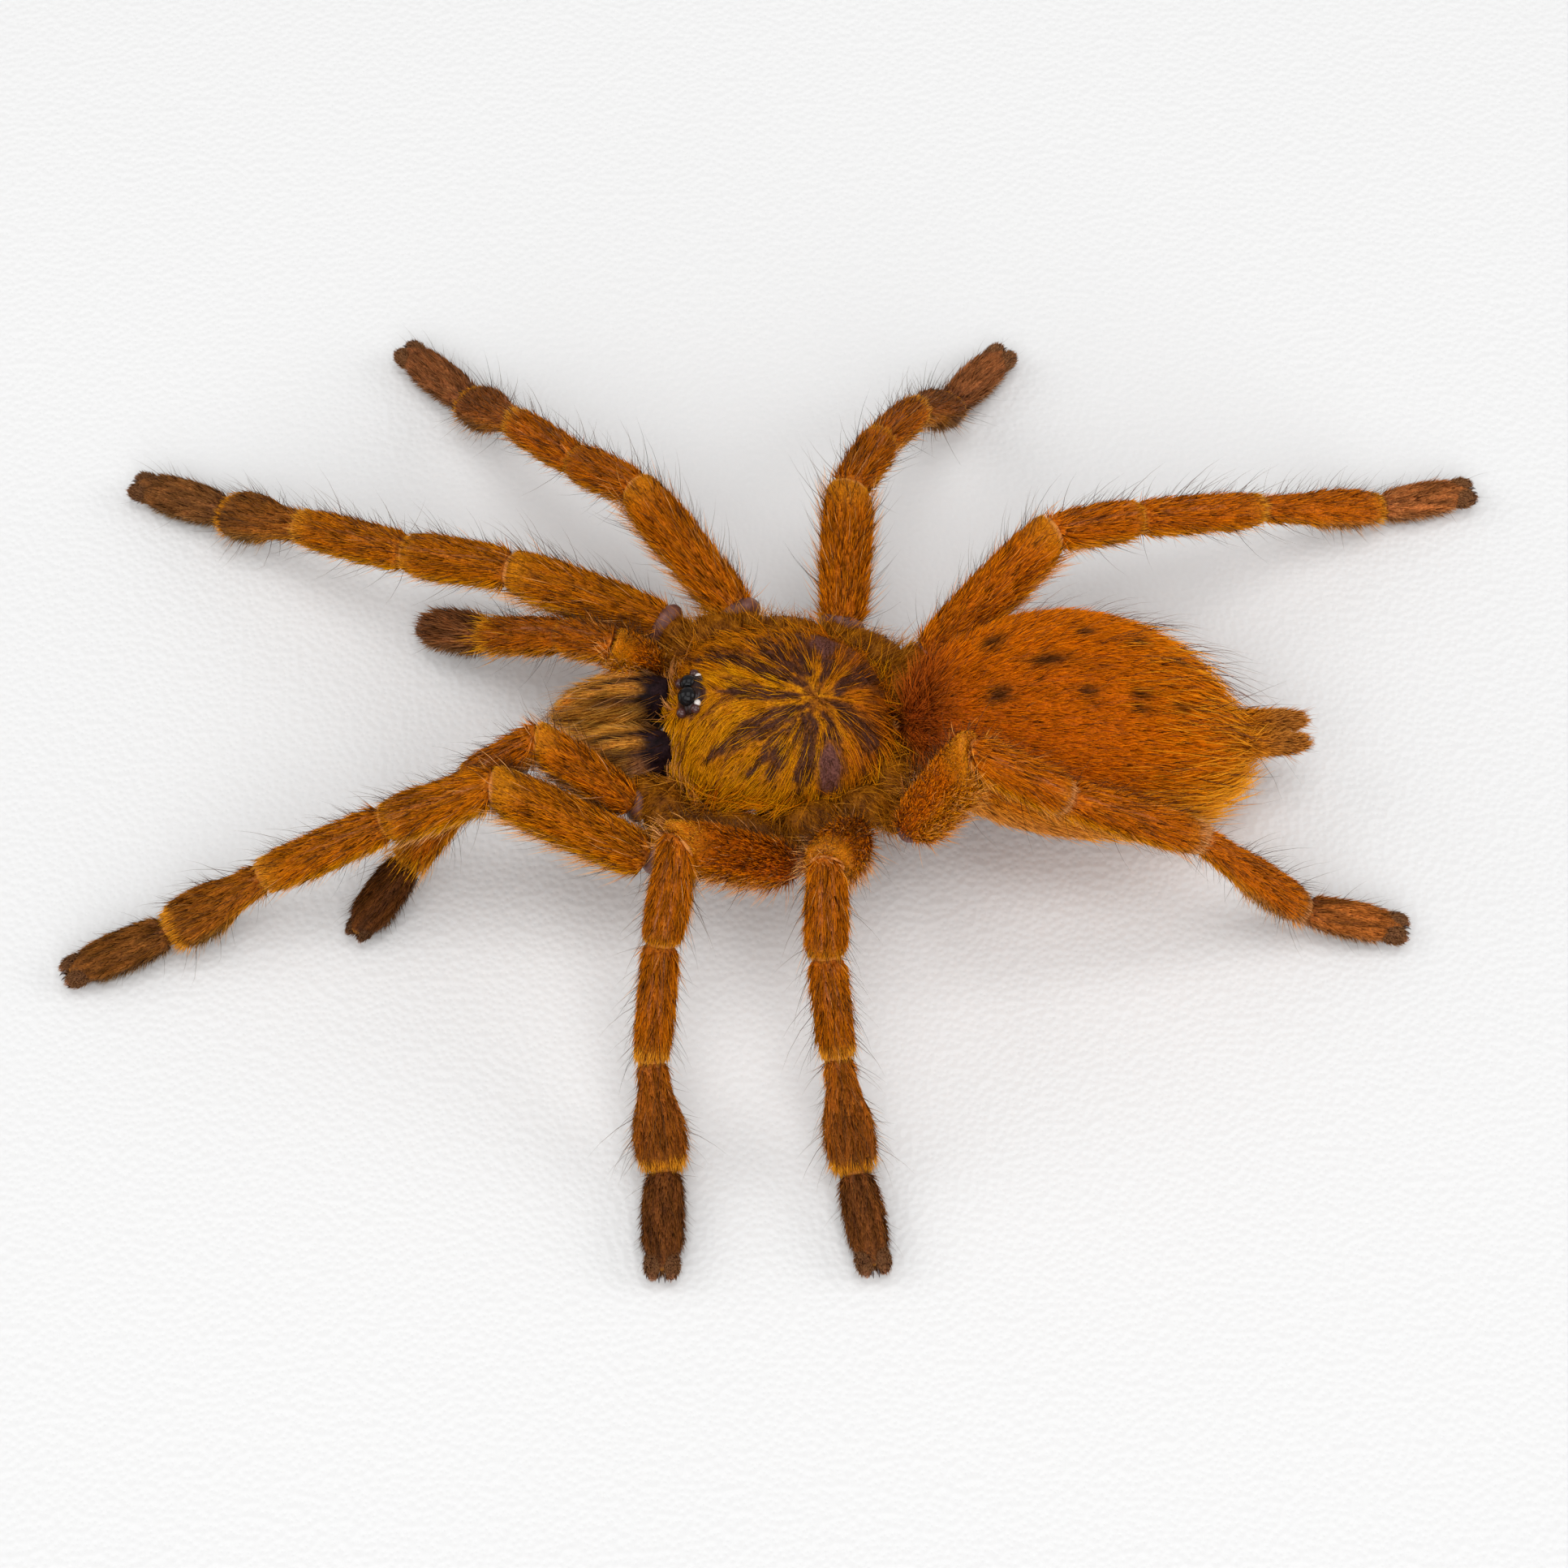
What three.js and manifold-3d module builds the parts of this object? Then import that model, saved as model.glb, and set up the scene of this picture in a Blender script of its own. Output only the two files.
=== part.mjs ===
// A dried, spread tarantula specimen, in millimetres, with +Z up and the surface it stands on at z = 0.
// The head points along -X, the animal's right side is +Y and its left side is -Y.
// Each hard plate of the body is its own closed solid: the head shield, the breast plate with the hip
// joints, the waist, the hind body, the jaws and fangs, the spinnerets, and every segment of the eight
// legs and the two feelers (palps). The hair isn't part of the solids.

import * as THREE from "three";
import { mergeVertices } from "three/addons/utils/BufferGeometryUtils.js";
import Module from "manifold-3d";

// ---------------------------------------------------------------- driving dimensions

const PLATE_GAP = 0.3; // free space between two plates that meet
const CUT_GAP = 0.55; // how far a plate is cut back round another that it wraps
const SOLE_REACH = 0.7; // a foot's hair pad spreads on the surface from this height down
const MIDLINE = 0.3; // the y of the body's plane of symmetry

// Where each limb's hip joint (coxa) grows from the breast plate, from the midline outwards, the lengths
// of the segments from the hip outwards, and the half-width at the middle of each.
const LIMB_SIZES = {
  palp: { root: [-6.4, 2.4], lengths: [9.0, 7.1, 9.0, 6.8], girths: [1.4, 1.35, 1.35, 1.5] },
  leg_1: { root: [-3.6, 3.4], lengths: [12.9, 9.2, 10.4, 8.6, 8.1], girths: [1.75, 1.65, 1.5, 1.35, 1.55] },
  leg_2: { root: [-1.3, 3.7], lengths: [12.8, 7.6, 8.7, 8.3, 7.9], girths: [1.75, 1.45, 1.3, 1.2, 1.45] },
  leg_3: { root: [1.2, 3.6], lengths: [10.7, 6.8, 7.4, 8.9, 7.5], girths: [1.85, 1.45, 1.3, 1.15, 1.4] },
  leg_4: { root: [3.4, 2.6], lengths: [13.6, 8.1, 11.6, 12.8, 7.5], girths: [1.8, 1.45, 1.35, 1.15, 1.35] },
};

const LEG_SEGMENTS = ["femur", "patella", "tibia", "metatarsus", "tarsus"];
const PALP_SEGMENTS = ["femur", "patella", "tibia", "tarsus"];

// How each limb dried. A heading of 0 points forward and 90 to the animal's right, and a pitch above 0
// rises. The hip is the inner end of the femur in plan. Its height follows from the pitches, because
// the tip of the foot ends at tip_height.
const TIP_HEIGHT = 1.3;
const POSES = [
  {
    limb: "leg_1",
    side: "right",
    hip: [-9.3, 10.2],
    headings: [21, 24, 30, 34, 26],
    pitches: [8, -15, -16, -25, -6],
  },
  {
    limb: "leg_2",
    side: "right",
    hip: [-3.6, 11.3],
    headings: [51, 48, 52, 56, 49],
    pitches: [19, -24, -21, -33, -6],
  },
  {
    limb: "leg_3",
    side: "right",
    hip: [4.4, 10.3],
    headings: [96, 116, 120, 122, 131],
    pitches: [34, -16, -30, -46, -6],
  },
  {
    limb: "leg_4",
    side: "right",
    hip: [11.0, 7.6],
    headings: [147, 157, 162, 160, 169],
    pitches: [31, -20, -21, -27, -3],
  },
  {
    limb: "leg_1",
    side: "left",
    hip: [-11.4, -10.2],
    headings: [19, -3, -12, -19, -21],
    pitches: [22, -25, -21, -22, -6],
  },
  {
    limb: "leg_2",
    side: "left",
    hip: [-1.0, -11.7],
    headings: [-23, -73, -81, -95, -87],
    pitches: [47, -46, -39, -35, -7],
  },
  {
    limb: "leg_3",
    side: "left",
    hip: [4.1, -9.8],
    headings: [-71, -87, -96, -98, -98],
    pitches: [47, -41, -39, -39, -7],
  },
  {
    limb: "leg_4",
    side: "left",
    hip: [8.9, -8.4],
    headings: [-153, -168, -176, -173, -169],
    pitches: [71, -30, -28, -47, -8],
  },
  {
    limb: "palp",
    side: "right",
    hip: [-10.0, 7.7],
    headings: [-37, 48, 31, 33],
    pitches: [61, -39, -35, -27],
    tip_height: 1.6,
  },
  {
    limb: "palp",
    side: "left",
    hip: [-12.4, -6.2],
    headings: [23, -3, -31, -51],
    pitches: [34, -42, -47, -16],
  },
];

// Each kind of segment: its radius along its length as shares of the girth, and its height for its width.
const SEGMENT_SHAPES = {
  femur: { height: 1.12, profile: [[0, 0.7], [0.06, 0.9], [0.35, 1], [0.72, 1], [0.95, 0.97], [1, 0.84]] },
  patella: { height: 1, profile: [[0, 0.78], [0.07, 0.92], [0.38, 1], [0.74, 1.03], [0.94, 1], [1, 0.85]] },
  tibia: { height: 1, profile: [[0, 0.82], [0.06, 0.95], [0.32, 1], [0.7, 1], [0.95, 0.96], [1, 0.83]] },
  metatarsus: { height: 0.9, profile: [[0, 0.8], [0.1, 0.9], [0.35, 0.9], [0.68, 1.1], [0.93, 1], [1, 0.8]] },
  tarsus: { height: 0.8, profile: [[0, 0.78], [0.12, 0.96], [0.4, 1.08], [0.75, 1], [0.94, 0.8], [1, 0.5]] },
};
const LIMB_SIDES = 10;
const TILT_REACH = 0.42; // share of a segment's length over which its slanted end straightens out

const CARAPACE = { front: -9.7, rear: 7.4, width: 15.4, rim: 10.1, crown: 3.9, lip: 0.6, corner: 2.5 };
const HEAD_RISE = { centre: -5.6, spread: 3.4, width: 3.8, height: 1.35 }; // the raised front of the shield
const EYE_MOUND = { centre: -7.4, length: 1.2, width: 1.7, height: 1.5 };
const FOVEA = { centre: 1.8, spread: 0.9, depth: 0.45 }; // the pit at the middle of the shield

const STERNUM = { centre: -0.6, length: 12.4, width: 9.4, low: 5.2, high: 9.2 };
const COXA = { root_radius: 1.8, tip_radius: 1.6, height: 7.2 };
const TROCHANTER_SPACE = 1.7; // room between a coxa's end and its femur

const ABDOMEN = { front: 8.5, rear: 34.0, width: 17.6, height: 16.2, belly: 0.9, droop: 3.2, swing: 1.3 };
const PEDICEL = { front: 7.6, rear: 9.3, radius: 1.2, height: 8.4 };
const SPINNERET = { root: [33.3, 0.0, 6.4], length: 6.1, radius: 0.75, spread: 0.92, splay: 1 };
const SMALL_SPINNERET = { root: [32.8, 0.0, 4.8], length: 2.5, radius: 0.45, spread: 0.65, splay: 5 };

const CHELICERA = {
  centre: -13.0,
  half_length: 4.9,
  half_width: 2.1,
  half_height: 3.2,
  height: 9.3,
  spread: 2.45,
  tilt: 14,
};
const FANG = { root: -16.4, height: 5.4, radius: 0.7, length: 5.8, curl: 100, spread: 2.4 };

const COLOURS = {
  shield: [0x8a5a1e, 0.55],
  underside: [0x6e3f1c, 0.6],
  hind_body: [0xb0561a, 0.65],
  jaw: [0x4a3020, 0.5],
  horn: [0x160c0a, 0.2],
  leg: [0x9a4f14, 0.6],
  foot: [0x5a3a20, 0.8],
};

// ---------------------------------------------------------------- helpers

const rad = THREE.MathUtils.degToRad;
const shared = Object.fromEntries(
  Object.entries(COLOURS).map(([name, [color, roughness]]) => [
    name,
    new THREE.MeshStandardMaterial({ color, roughness, metalness: 0 }),
  ]),
);

const specimen = new THREE.Group();

function addPlate(name, geometry, material) {
  const plate = new THREE.Mesh(geometry, shared[material]);
  plate.name = name;
  specimen.add(plate);
  return plate;
}

function reshape(geometry, change) {
  const places = geometry.getAttribute("position");
  const point = new THREE.Vector3();
  for (let i = 0; i < places.count; i += 1) {
    change(point.fromBufferAttribute(places, i));
    places.setXYZ(i, point.x, point.y, point.z);
  }
  return geometry;
}

// A unit vector from a heading and a pitch in degrees, and the one at right angles above it.
function directions(heading, pitch) {
  const [h, p] = [rad(heading), rad(pitch)];
  const along = new THREE.Vector3(-Math.cos(h) * Math.cos(p), Math.sin(h) * Math.cos(p), Math.sin(p));
  const up = new THREE.Vector3(Math.cos(h) * Math.sin(p), -Math.sin(h) * Math.sin(p), Math.cos(p));
  return { along, up, across: along.clone().cross(up) };
}

const smooth = (t) => t * t * (3 - 2 * t);
const bell = (distance, spread) => Math.exp(-((distance / spread) ** 2));

// ---------------------------------------------------------------- limbs

// The slope of the plane that halves the bend between two segments, seen from one of them.
function jointSlope(own, other) {
  if (!other) return { across: 0, up: 0, stretch: 1 };
  const normal = own.along.clone().add(other.along).normalize();
  const facing = own.along.dot(normal);
  return { across: own.across.dot(normal) / facing, up: own.up.dot(normal) / facing, stretch: 1 / facing };
}

// A segment turned round +Y, with its ends slanted to meet its neighbours face to face.
function segmentGeometry(kind, length, girth, start, end) {
  const { height, profile } = SEGMENT_SHAPES[kind];
  const low = (PLATE_GAP / 2) * start.stretch;
  const high = length - (PLATE_GAP / 2) * end.stretch;
  const outline = profile.map(([share, width]) => new THREE.Vector2(width * girth, low + share * (high - low)));
  outline.unshift(new THREE.Vector2(0, low));
  outline.push(new THREE.Vector2(0, high));
  const reach = TILT_REACH * length;
  return reshape(new THREE.LatheGeometry(outline, LIMB_SIDES, Math.PI / LIMB_SIDES), (p) => {
    p.z *= height;
    const near = smooth(THREE.MathUtils.clamp(1 - (p.y - low) / reach, 0, 1));
    const far = smooth(THREE.MathUtils.clamp(1 - (high - p.y) / reach, 0, 1));
    p.y -= near * (start.across * p.x + start.up * p.z) + far * (end.across * p.x + end.up * p.z);
  });
}

// Where the hair pad under a foot meets the surface, it spreads into a flat sole.
function flattenSole(foot) {
  foot.updateMatrix();
  const back = foot.matrix.clone().invert();
  reshape(foot.geometry, (p) => {
    p.applyMatrix4(foot.matrix);
    if (p.z < SOLE_REACH) p.z = 0;
    p.applyMatrix4(back);
  });
}

function addLimb({ limb, side, hip, headings, pitches, tip_height = TIP_HEIGHT }) {
  const { lengths, girths } = LIMB_SIZES[limb];
  const kinds = limb === "palp" ? PALP_SEGMENTS : LEG_SEGMENTS;
  const frames = headings.map((heading, i) => directions(heading, pitches[i]));
  const climb = frames.reduce((sum, frame, i) => sum + frame.along.z * lengths[i], 0);
  const joint = new THREE.Vector3(hip[0], hip[1], tip_height - climb);
  const start = joint.clone();
  kinds.forEach((kind, i) => {
    const near = jointSlope(frames[i], frames[i - 1]);
    const far = jointSlope(frames[i], frames[i + 1]);
    const geometry = segmentGeometry(kind, lengths[i], girths[i], near, far);
    const name = `${kind}_${side}_${limb}`;
    const segment = addPlate(name, geometry, kind === "tarsus" ? "foot" : "leg");
    const { across, along, up } = frames[i];
    segment.quaternion.setFromRotationMatrix(new THREE.Matrix4().makeBasis(across, along, up));
    segment.position.copy(joint);
    if (kind === "tarsus") flattenSole(segment);
    joint.addScaledVector(along, lengths[i]);
  });
  return start;
}

const hips = POSES.map((pose) => ({ ...pose, at: addLimb(pose) }));

// ---------------------------------------------------------------- head shield

// A domed plate on a rounded outline, grown all round by a margin.
function carapaceGeometry(margin, sides) {
  const { front, rear, width, rim, crown, lip, corner } = CARAPACE;
  const centre = (front + rear) / 2;
  const half = (rear - front) / 2 + margin;
  return reshape(new THREE.SphereGeometry(1, sides, sides / 2).rotateX(Math.PI / 2), (p) => {
    const angle = Math.atan2(p.y, p.x);
    const spread = Math.hypot(p.x, p.y);
    const [ahead, aside] = [Math.cos(angle), Math.sin(angle)];
    const square = (Math.abs(ahead) ** corner + Math.abs(aside) ** corner) ** (-1 / corner);
    const x = centre + half * spread * square * ahead;
    const y = (width / 2 + margin) * spread * square * aside;
    const above = Math.max(p.z, 0);
    const head = HEAD_RISE.height * bell(x - HEAD_RISE.centre, HEAD_RISE.spread) * bell(y, HEAD_RISE.width);
    const mound = EYE_MOUND.height * bell(x - EYE_MOUND.centre, EYE_MOUND.length) * bell(y, EYE_MOUND.width);
    const pit = FOVEA.depth * bell(Math.hypot(x - FOVEA.centre, y), FOVEA.spread);
    const rise = (crown + margin) * above ** 0.85 + (head + mound) * Math.sqrt(above) - pit * above;
    p.set(x, MIDLINE + y, rim + rise + (lip + margin) * Math.min(p.z, 0));
  });
}

addPlate("carapace", carapaceGeometry(0, 26), "shield");

// ---------------------------------------------------------------- breast plate and hips

const wasm = await Module();
wasm.setup();

function toSolid(geometry) {
  const bare = geometry.clone();
  bare.deleteAttribute("normal");
  bare.deleteAttribute("uv");
  const merged = mergeVertices(bare, 1e-3);
  const vertProperties = new Float32Array(merged.getAttribute("position").array);
  const triVerts = new Uint32Array(merged.index.array);
  return new wasm.Manifold(new wasm.Mesh({ numProp: 3, vertProperties, triVerts }));
}

function fromSolid(solid) {
  const { vertProperties, triVerts } = solid.getMesh();
  const geometry = new THREE.BufferGeometry();
  geometry.setAttribute("position", new THREE.BufferAttribute(vertProperties, 3));
  geometry.setIndex(new THREE.BufferAttribute(triVerts, 1));
  return geometry;
}

function placed(geometry, from, along) {
  const turn = new THREE.Quaternion().setFromUnitVectors(new THREE.Vector3(0, 1, 0), along);
  return geometry.applyQuaternion(turn).translate(from.x, from.y, from.z);
}

// A short barrel from the breast plate out to the hip.
function coxaGeometry({ limb, side, at }) {
  const [x, y] = LIMB_SIZES[limb].root;
  const root = new THREE.Vector3(x, side === "right" ? MIDLINE + y : MIDLINE - y, COXA.height);
  const along = at.clone().sub(root);
  const length = along.length() - TROCHANTER_SPACE;
  const [wide, narrow] = [COXA.root_radius, COXA.tip_radius];
  const rings = [[0, 0], [wide, 0], [wide, 0.5], [narrow, 0.88], [narrow * 0.75, 1], [0, 1]];
  const outline = rings.map(([radius, share]) => new THREE.Vector2(radius, share * length));
  return placed(new THREE.LatheGeometry(outline, 8, Math.PI / 8), root, along.normalize());
}

function sternumGeometry() {
  const { centre, length, width, low, high } = STERNUM;
  return new THREE.SphereGeometry(1, 12, 8)
    .rotateX(Math.PI / 2)
    .scale(length / 2, width / 2, (high - low) / 2)
    .translate(centre, MIDLINE, (low + high) / 2);
}

const breast = hips
  .map((hip) => toSolid(coxaGeometry(hip)))
  .reduce((whole, coxa) => whole.add(coxa), toSolid(sternumGeometry()))
  .subtract(toSolid(carapaceGeometry(CUT_GAP, 16)));

// ---------------------------------------------------------------- waist, hind body and spinnerets

function abdomenGeometry() {
  const { front, rear, width, height, belly, droop, swing } = ABDOMEN;
  const centre = (front + rear) / 2;
  const middle = belly + height / 2;
  return reshape(new THREE.SphereGeometry(1, 20, 14).rotateZ(Math.PI / 2), (p) => {
    const back = ((p.x + 1) / 2) ** 3;
    const swell = 1 + 0.08 * p.x - 0.06 * back;
    const y = MIDLINE - swing * back + (p.y * swell * width) / 2;
    const z = middle - droop * back + (p.z * swell * height) / 2;
    p.set(centre + (p.x * (rear - front)) / 2, y, Math.max(z, belly));
  });
}

addPlate("abdomen", abdomenGeometry(), "hind_body");

function pedicelGeometry() {
  const { front, rear, radius, height } = PEDICEL;
  const rings = [[0, 0], [1, 0], [0.8, 0.5], [1, 1], [0, 1]];
  const outline = rings.map(([r, share]) => new THREE.Vector2(r * radius, share * (rear - front)));
  const tube = new THREE.LatheGeometry(outline, 10);
  return placed(tube, new THREE.Vector3(front, MIDLINE, height), new THREE.Vector3(1, 0, 0));
}

const clearOfAbdomen = toSolid(abdomenGeometry().translate(-PLATE_GAP, 0, 0));
const waist = toSolid(pedicelGeometry()).subtract(clearOfAbdomen);
addPlate("pedicel", fromSolid(waist), "underside");

// A finger of ringed segments, each a little narrower than the one before.
function spinneretGeometry({ length, radius }) {
  const widths = [0, 0.75, 1, 0.86, 0.93, 0.74, 0.78, 0.4, 0];
  const steps = [0, 0, 0.12, 0.42, 0.5, 0.72, 0.8, 1, 1];
  const outline = widths.map((r, i) => new THREE.Vector2(r * radius, steps[i] * length));
  return new THREE.LatheGeometry(outline, 8);
}

function addSpinneret(name, size, outwards) {
  const along = directions(180 - outwards * size.splay, 0).along;
  const [x, y, z] = size.root;
  const root = new THREE.Vector3(x, y + outwards * size.spread, z);
  const clear = toSolid(abdomenGeometry().translate(PLATE_GAP, 0, 0));
  const finger = toSolid(placed(spinneretGeometry(size), root, along)).subtract(clear);
  addPlate(name, fromSolid(finger), "hind_body");
}

for (const [side, outwards] of [["right", 1], ["left", -1]]) {
  addSpinneret(`spinneret_${side}`, SPINNERET, outwards);
  addSpinneret(`small_spinneret_${side}`, SMALL_SPINNERET, outwards);
}

// ---------------------------------------------------------------- jaws and fangs

function cheliceraGeometry(outwards, margin, sides) {
  const { centre, half_length, half_width, half_height, height, spread, tilt } = CHELICERA;
  return reshape(new THREE.SphereGeometry(1, sides, sides - 2).rotateZ(Math.PI / 2), (p) => {
    const swell = 1 + 0.08 * p.x;
    p.x *= half_length + margin;
    p.y *= (half_width + margin) * swell;
    p.z *= (half_height + margin) * swell;
  })
    .rotateY(rad(-tilt))
    .translate(centre, MIDLINE + outwards * spread, height);
}

// A horn that curls down and back from the front end of its jaw.
function fangGeometry(outwards) {
  const { root, height, radius, length, curl, spread } = FANG;
  const widths = [0, 0.85, 1, 0.85, 0.66, 0.44, 0.2, 0];
  const steps = [0, 0, 0.12, 0.32, 0.54, 0.76, 0.96, 1];
  const outline = widths.map((r, i) => new THREE.Vector2(r * radius, steps[i] * length));
  const bend = length / rad(curl);
  return reshape(new THREE.LatheGeometry(outline, 8), (p) => {
    const turned = p.y / bend;
    const [out, side] = [bend + p.z, p.x];
    const x = root + bend - out * Math.cos(turned);
    p.set(x, MIDLINE + outwards * spread + side, height - out * Math.sin(turned));
  });
}

for (const [side, outwards] of [["right", 1], ["left", -1]]) {
  const fang = toSolid(fangGeometry(outwards)).subtract(toSolid(cheliceraGeometry(outwards, CUT_GAP, 10)));
  const jaw = toSolid(cheliceraGeometry(outwards, 0, 12)).subtract(toSolid(carapaceGeometry(CUT_GAP, 16)));
  addPlate(`fang_${side}`, fromSolid(fang), "horn");
  addPlate(`chelicera_${side}`, fromSolid(jaw), "jaw");
}

const jaws = toSolid(cheliceraGeometry(1, CUT_GAP, 10)).add(toSolid(cheliceraGeometry(-1, CUT_GAP, 10)));
addPlate("sternum_and_coxae", fromSolid(breast.subtract(jaws)), "underside");

// ---------------------------------------------------------------- place the origin

// The origin is under the middle of the whole specimen, on the surface it stands on.
specimen.updateMatrixWorld(true);
const middle = new THREE.Box3().setFromObject(specimen, true).getCenter(new THREE.Vector3());
specimen.position.set(-middle.x, -middle.y, 0);

export default specimen;
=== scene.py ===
import math

import bmesh
import bpy
import numpy as np
from mathutils import Matrix, Vector


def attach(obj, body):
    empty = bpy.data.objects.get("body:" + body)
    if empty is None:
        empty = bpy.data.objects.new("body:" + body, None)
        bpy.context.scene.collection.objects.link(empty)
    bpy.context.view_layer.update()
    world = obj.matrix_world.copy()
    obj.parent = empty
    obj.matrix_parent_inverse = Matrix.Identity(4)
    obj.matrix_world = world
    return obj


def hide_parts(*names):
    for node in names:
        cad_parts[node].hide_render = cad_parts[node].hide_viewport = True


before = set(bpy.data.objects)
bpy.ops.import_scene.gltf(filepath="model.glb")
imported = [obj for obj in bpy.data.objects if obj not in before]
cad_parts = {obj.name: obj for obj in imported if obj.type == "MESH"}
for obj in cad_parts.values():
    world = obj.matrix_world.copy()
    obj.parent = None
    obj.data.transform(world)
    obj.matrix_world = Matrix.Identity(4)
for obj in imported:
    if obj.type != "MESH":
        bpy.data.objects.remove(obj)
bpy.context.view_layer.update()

# ======================================================== The card it lies on
# A sheet of heavy white card with a finely pebbled surface, lying flat. The specimen stands on it loose.

CARD_HALF = 3.0  # metres


def wire(tree, kind, inputs=None, **settings):
    """Adds a node, sets it, and gives each named input a value or another node's output."""
    node = tree.nodes.new(kind)
    for key, value in settings.items():
        setattr(node, key, value)
    for key, value in (inputs or {}).items():
        if isinstance(value, bpy.types.NodeSocket):
            tree.links.new(value, node.inputs[key])
        else:
            node.inputs[key].default_value = value
    return node


def new_finish(name, **sockets):
    """A material, its node tree and its surface shader, with the shader's own sockets set."""
    material = bpy.data.materials.new(name)
    material.use_nodes = True
    shader = material.node_tree.nodes["Principled BSDF"]
    for key, value in sockets.items():
        shader.inputs[key.replace("_", " ")].default_value = value
    return material, material.node_tree, shader


def clouds(tree, scale, detail, **more):
    """Soft noise through the piece, as a number from 0 to 1."""
    place = wire(tree, "ShaderNodeTexCoord").outputs["Object"]
    noise = wire(tree, "ShaderNodeTexNoise", {"Vector": place, "Scale": scale, "Detail": detail, **more})
    return noise.outputs["Fac"]


def shades(tree, number, *stops):
    """A colour for each number, from stops of a place from 0 to 1 and a colour."""
    node = wire(tree, "ShaderNodeValToRGB", {"Fac": number})
    elements = node.color_ramp.elements
    for position, colour in stops[1:-1]:
        elements.new(position).color = (*colour, 1)
    for element, (position, colour) in ((elements[0], stops[0]), (elements[-1], stops[-1])):
        element.position = position
        element.color = (*colour, 1)
    return node.outputs["Color"]


def stained(name, scale, detail, dark, light, low=0.0, high=1.0, **sockets):
    """A finish that clouds softly from one colour to another, with its tree, its shader and the clouds."""
    material, tree, shader = new_finish(name, **sockets)
    number = clouds(tree, scale, detail)
    tree.links.new(shades(tree, number, (low, dark), (high, light)), shader.inputs["Base Color"])
    return material, tree, shader, number


def roughen(tree, shader, height, strength, depth):
    """Small relief in the surface, with its depth in metres."""
    bump = wire(tree, "ShaderNodeBump", {"Strength": strength, "Distance": depth, "Height": height})
    tree.links.new(bump.outputs["Normal"], shader.inputs["Normal"])


card_finish, tree, shader, _ = stained("white_card", 9.0, 2.0, (0.71, 0.71, 0.71), (0.74, 0.74, 0.74), Roughness=0.75)
pebbles = wire(
    tree, "ShaderNodeTexVoronoi",
    {"Vector": wire(tree, "ShaderNodeTexCoord").outputs["Object"], "Scale": 1800.0, "Smoothness": 0.9},
    feature="SMOOTH_F1", voronoi_dimensions="2D",
)
roughen(tree, shader, pebbles.outputs["Distance"], 0.22, 0.0003)
card_mesh = bpy.data.meshes.new("white_card")
corners = [(x * CARD_HALF, y * CARD_HALF, 0) for x, y in ((-1, -1), (1, -1), (1, 1), (-1, 1))]
card_mesh.from_pydata(corners, [], [(0, 1, 2, 3)])
card_mesh.materials.append(card_finish)
card = bpy.data.objects.new("white_card", card_mesh)
bpy.context.scene.collection.objects.link(card)

# ======================================================== Camera and lights
# A long lens looks down on the left side of the animal, in a pale room with soft panels all round: one
# overhead, two on the near side, one past the head and one, lower, past the hind end.

LENS_MM, SENSOR_MM = 104.95, 36
HEADING, HEIGHT = math.radians(-2.665), math.radians(57.866)
AIM, DISTANCE = Vector((-0.00101, -0.00526, 0.008)), 0.348  # metres
ROOM_LIGHT = 0.4
PANELS = [  # name, place and width in metres, and power in watts
    ("top_panel", (0.1, 0.0, 1.4), 1.0, 7.2), ("near_panel", (0.15, -1.65, 1.12), 1.3, 15.5),
    ("near_left_panel", (-0.7, -0.9, 1.0), 0.9, 5.2), ("left_panel", (-1.2, 0.2, 0.8), 0.9, 5.2),
    ("right_panel", (1.3, -0.1, 0.6), 0.9, 6.7),
]

eye_back = Vector((math.sin(HEADING) * math.cos(HEIGHT), -math.cos(HEADING) * math.cos(HEIGHT), math.sin(HEIGHT)))
eye_right = Vector((math.cos(HEADING), math.sin(HEADING), 0))
eye_up = eye_back.cross(eye_right)
camera_data = bpy.data.cameras.new("camera")
camera_data.lens = LENS_MM
camera_data.sensor_width = SENSOR_MM
camera_data.clip_start = 0.01
camera_data.clip_end = 10
camera = bpy.data.objects.new("camera", camera_data)
bpy.context.scene.collection.objects.link(camera)
turn = Matrix((eye_right, eye_up, eye_back)).transposed().to_4x4()
camera.matrix_world = Matrix.Translation(AIM + eye_back * DISTANCE) @ turn
bpy.context.scene.camera = camera

world = bpy.data.worlds.new("pale_room")
bpy.context.scene.world = world
world.use_nodes = True
world.node_tree.nodes["Background"].inputs["Color"].default_value = (1.0, 1.0, 1.0, 1)
world.node_tree.nodes["Background"].inputs["Strength"].default_value = ROOM_LIGHT
for name, place, width, power in PANELS:
    light = bpy.data.lights.new(name, "AREA")
    light.size = width
    light.energy = power
    panel = bpy.data.objects.new(name, light)
    bpy.context.scene.collection.objects.link(panel)
    facing = Vector(place).to_track_quat("Z", "Y").to_matrix().to_4x4()
    panel.matrix_world = Matrix.Translation(Vector(place)) @ facing
bpy.context.scene.view_settings.view_transform = "Standard"

# ======================================================== Hind body
# A soft sac of leathery skin, packed with short hair combed backwards, with small dark paired spots where the muscles
# inside take hold. Painted shade darkens and reddens it towards the waist; painted light brightens its sides, underside
# and hind end, which are also made paler and more golden, partly the hair's own colour. Long thin bristles stand out of
# the coat.

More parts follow.
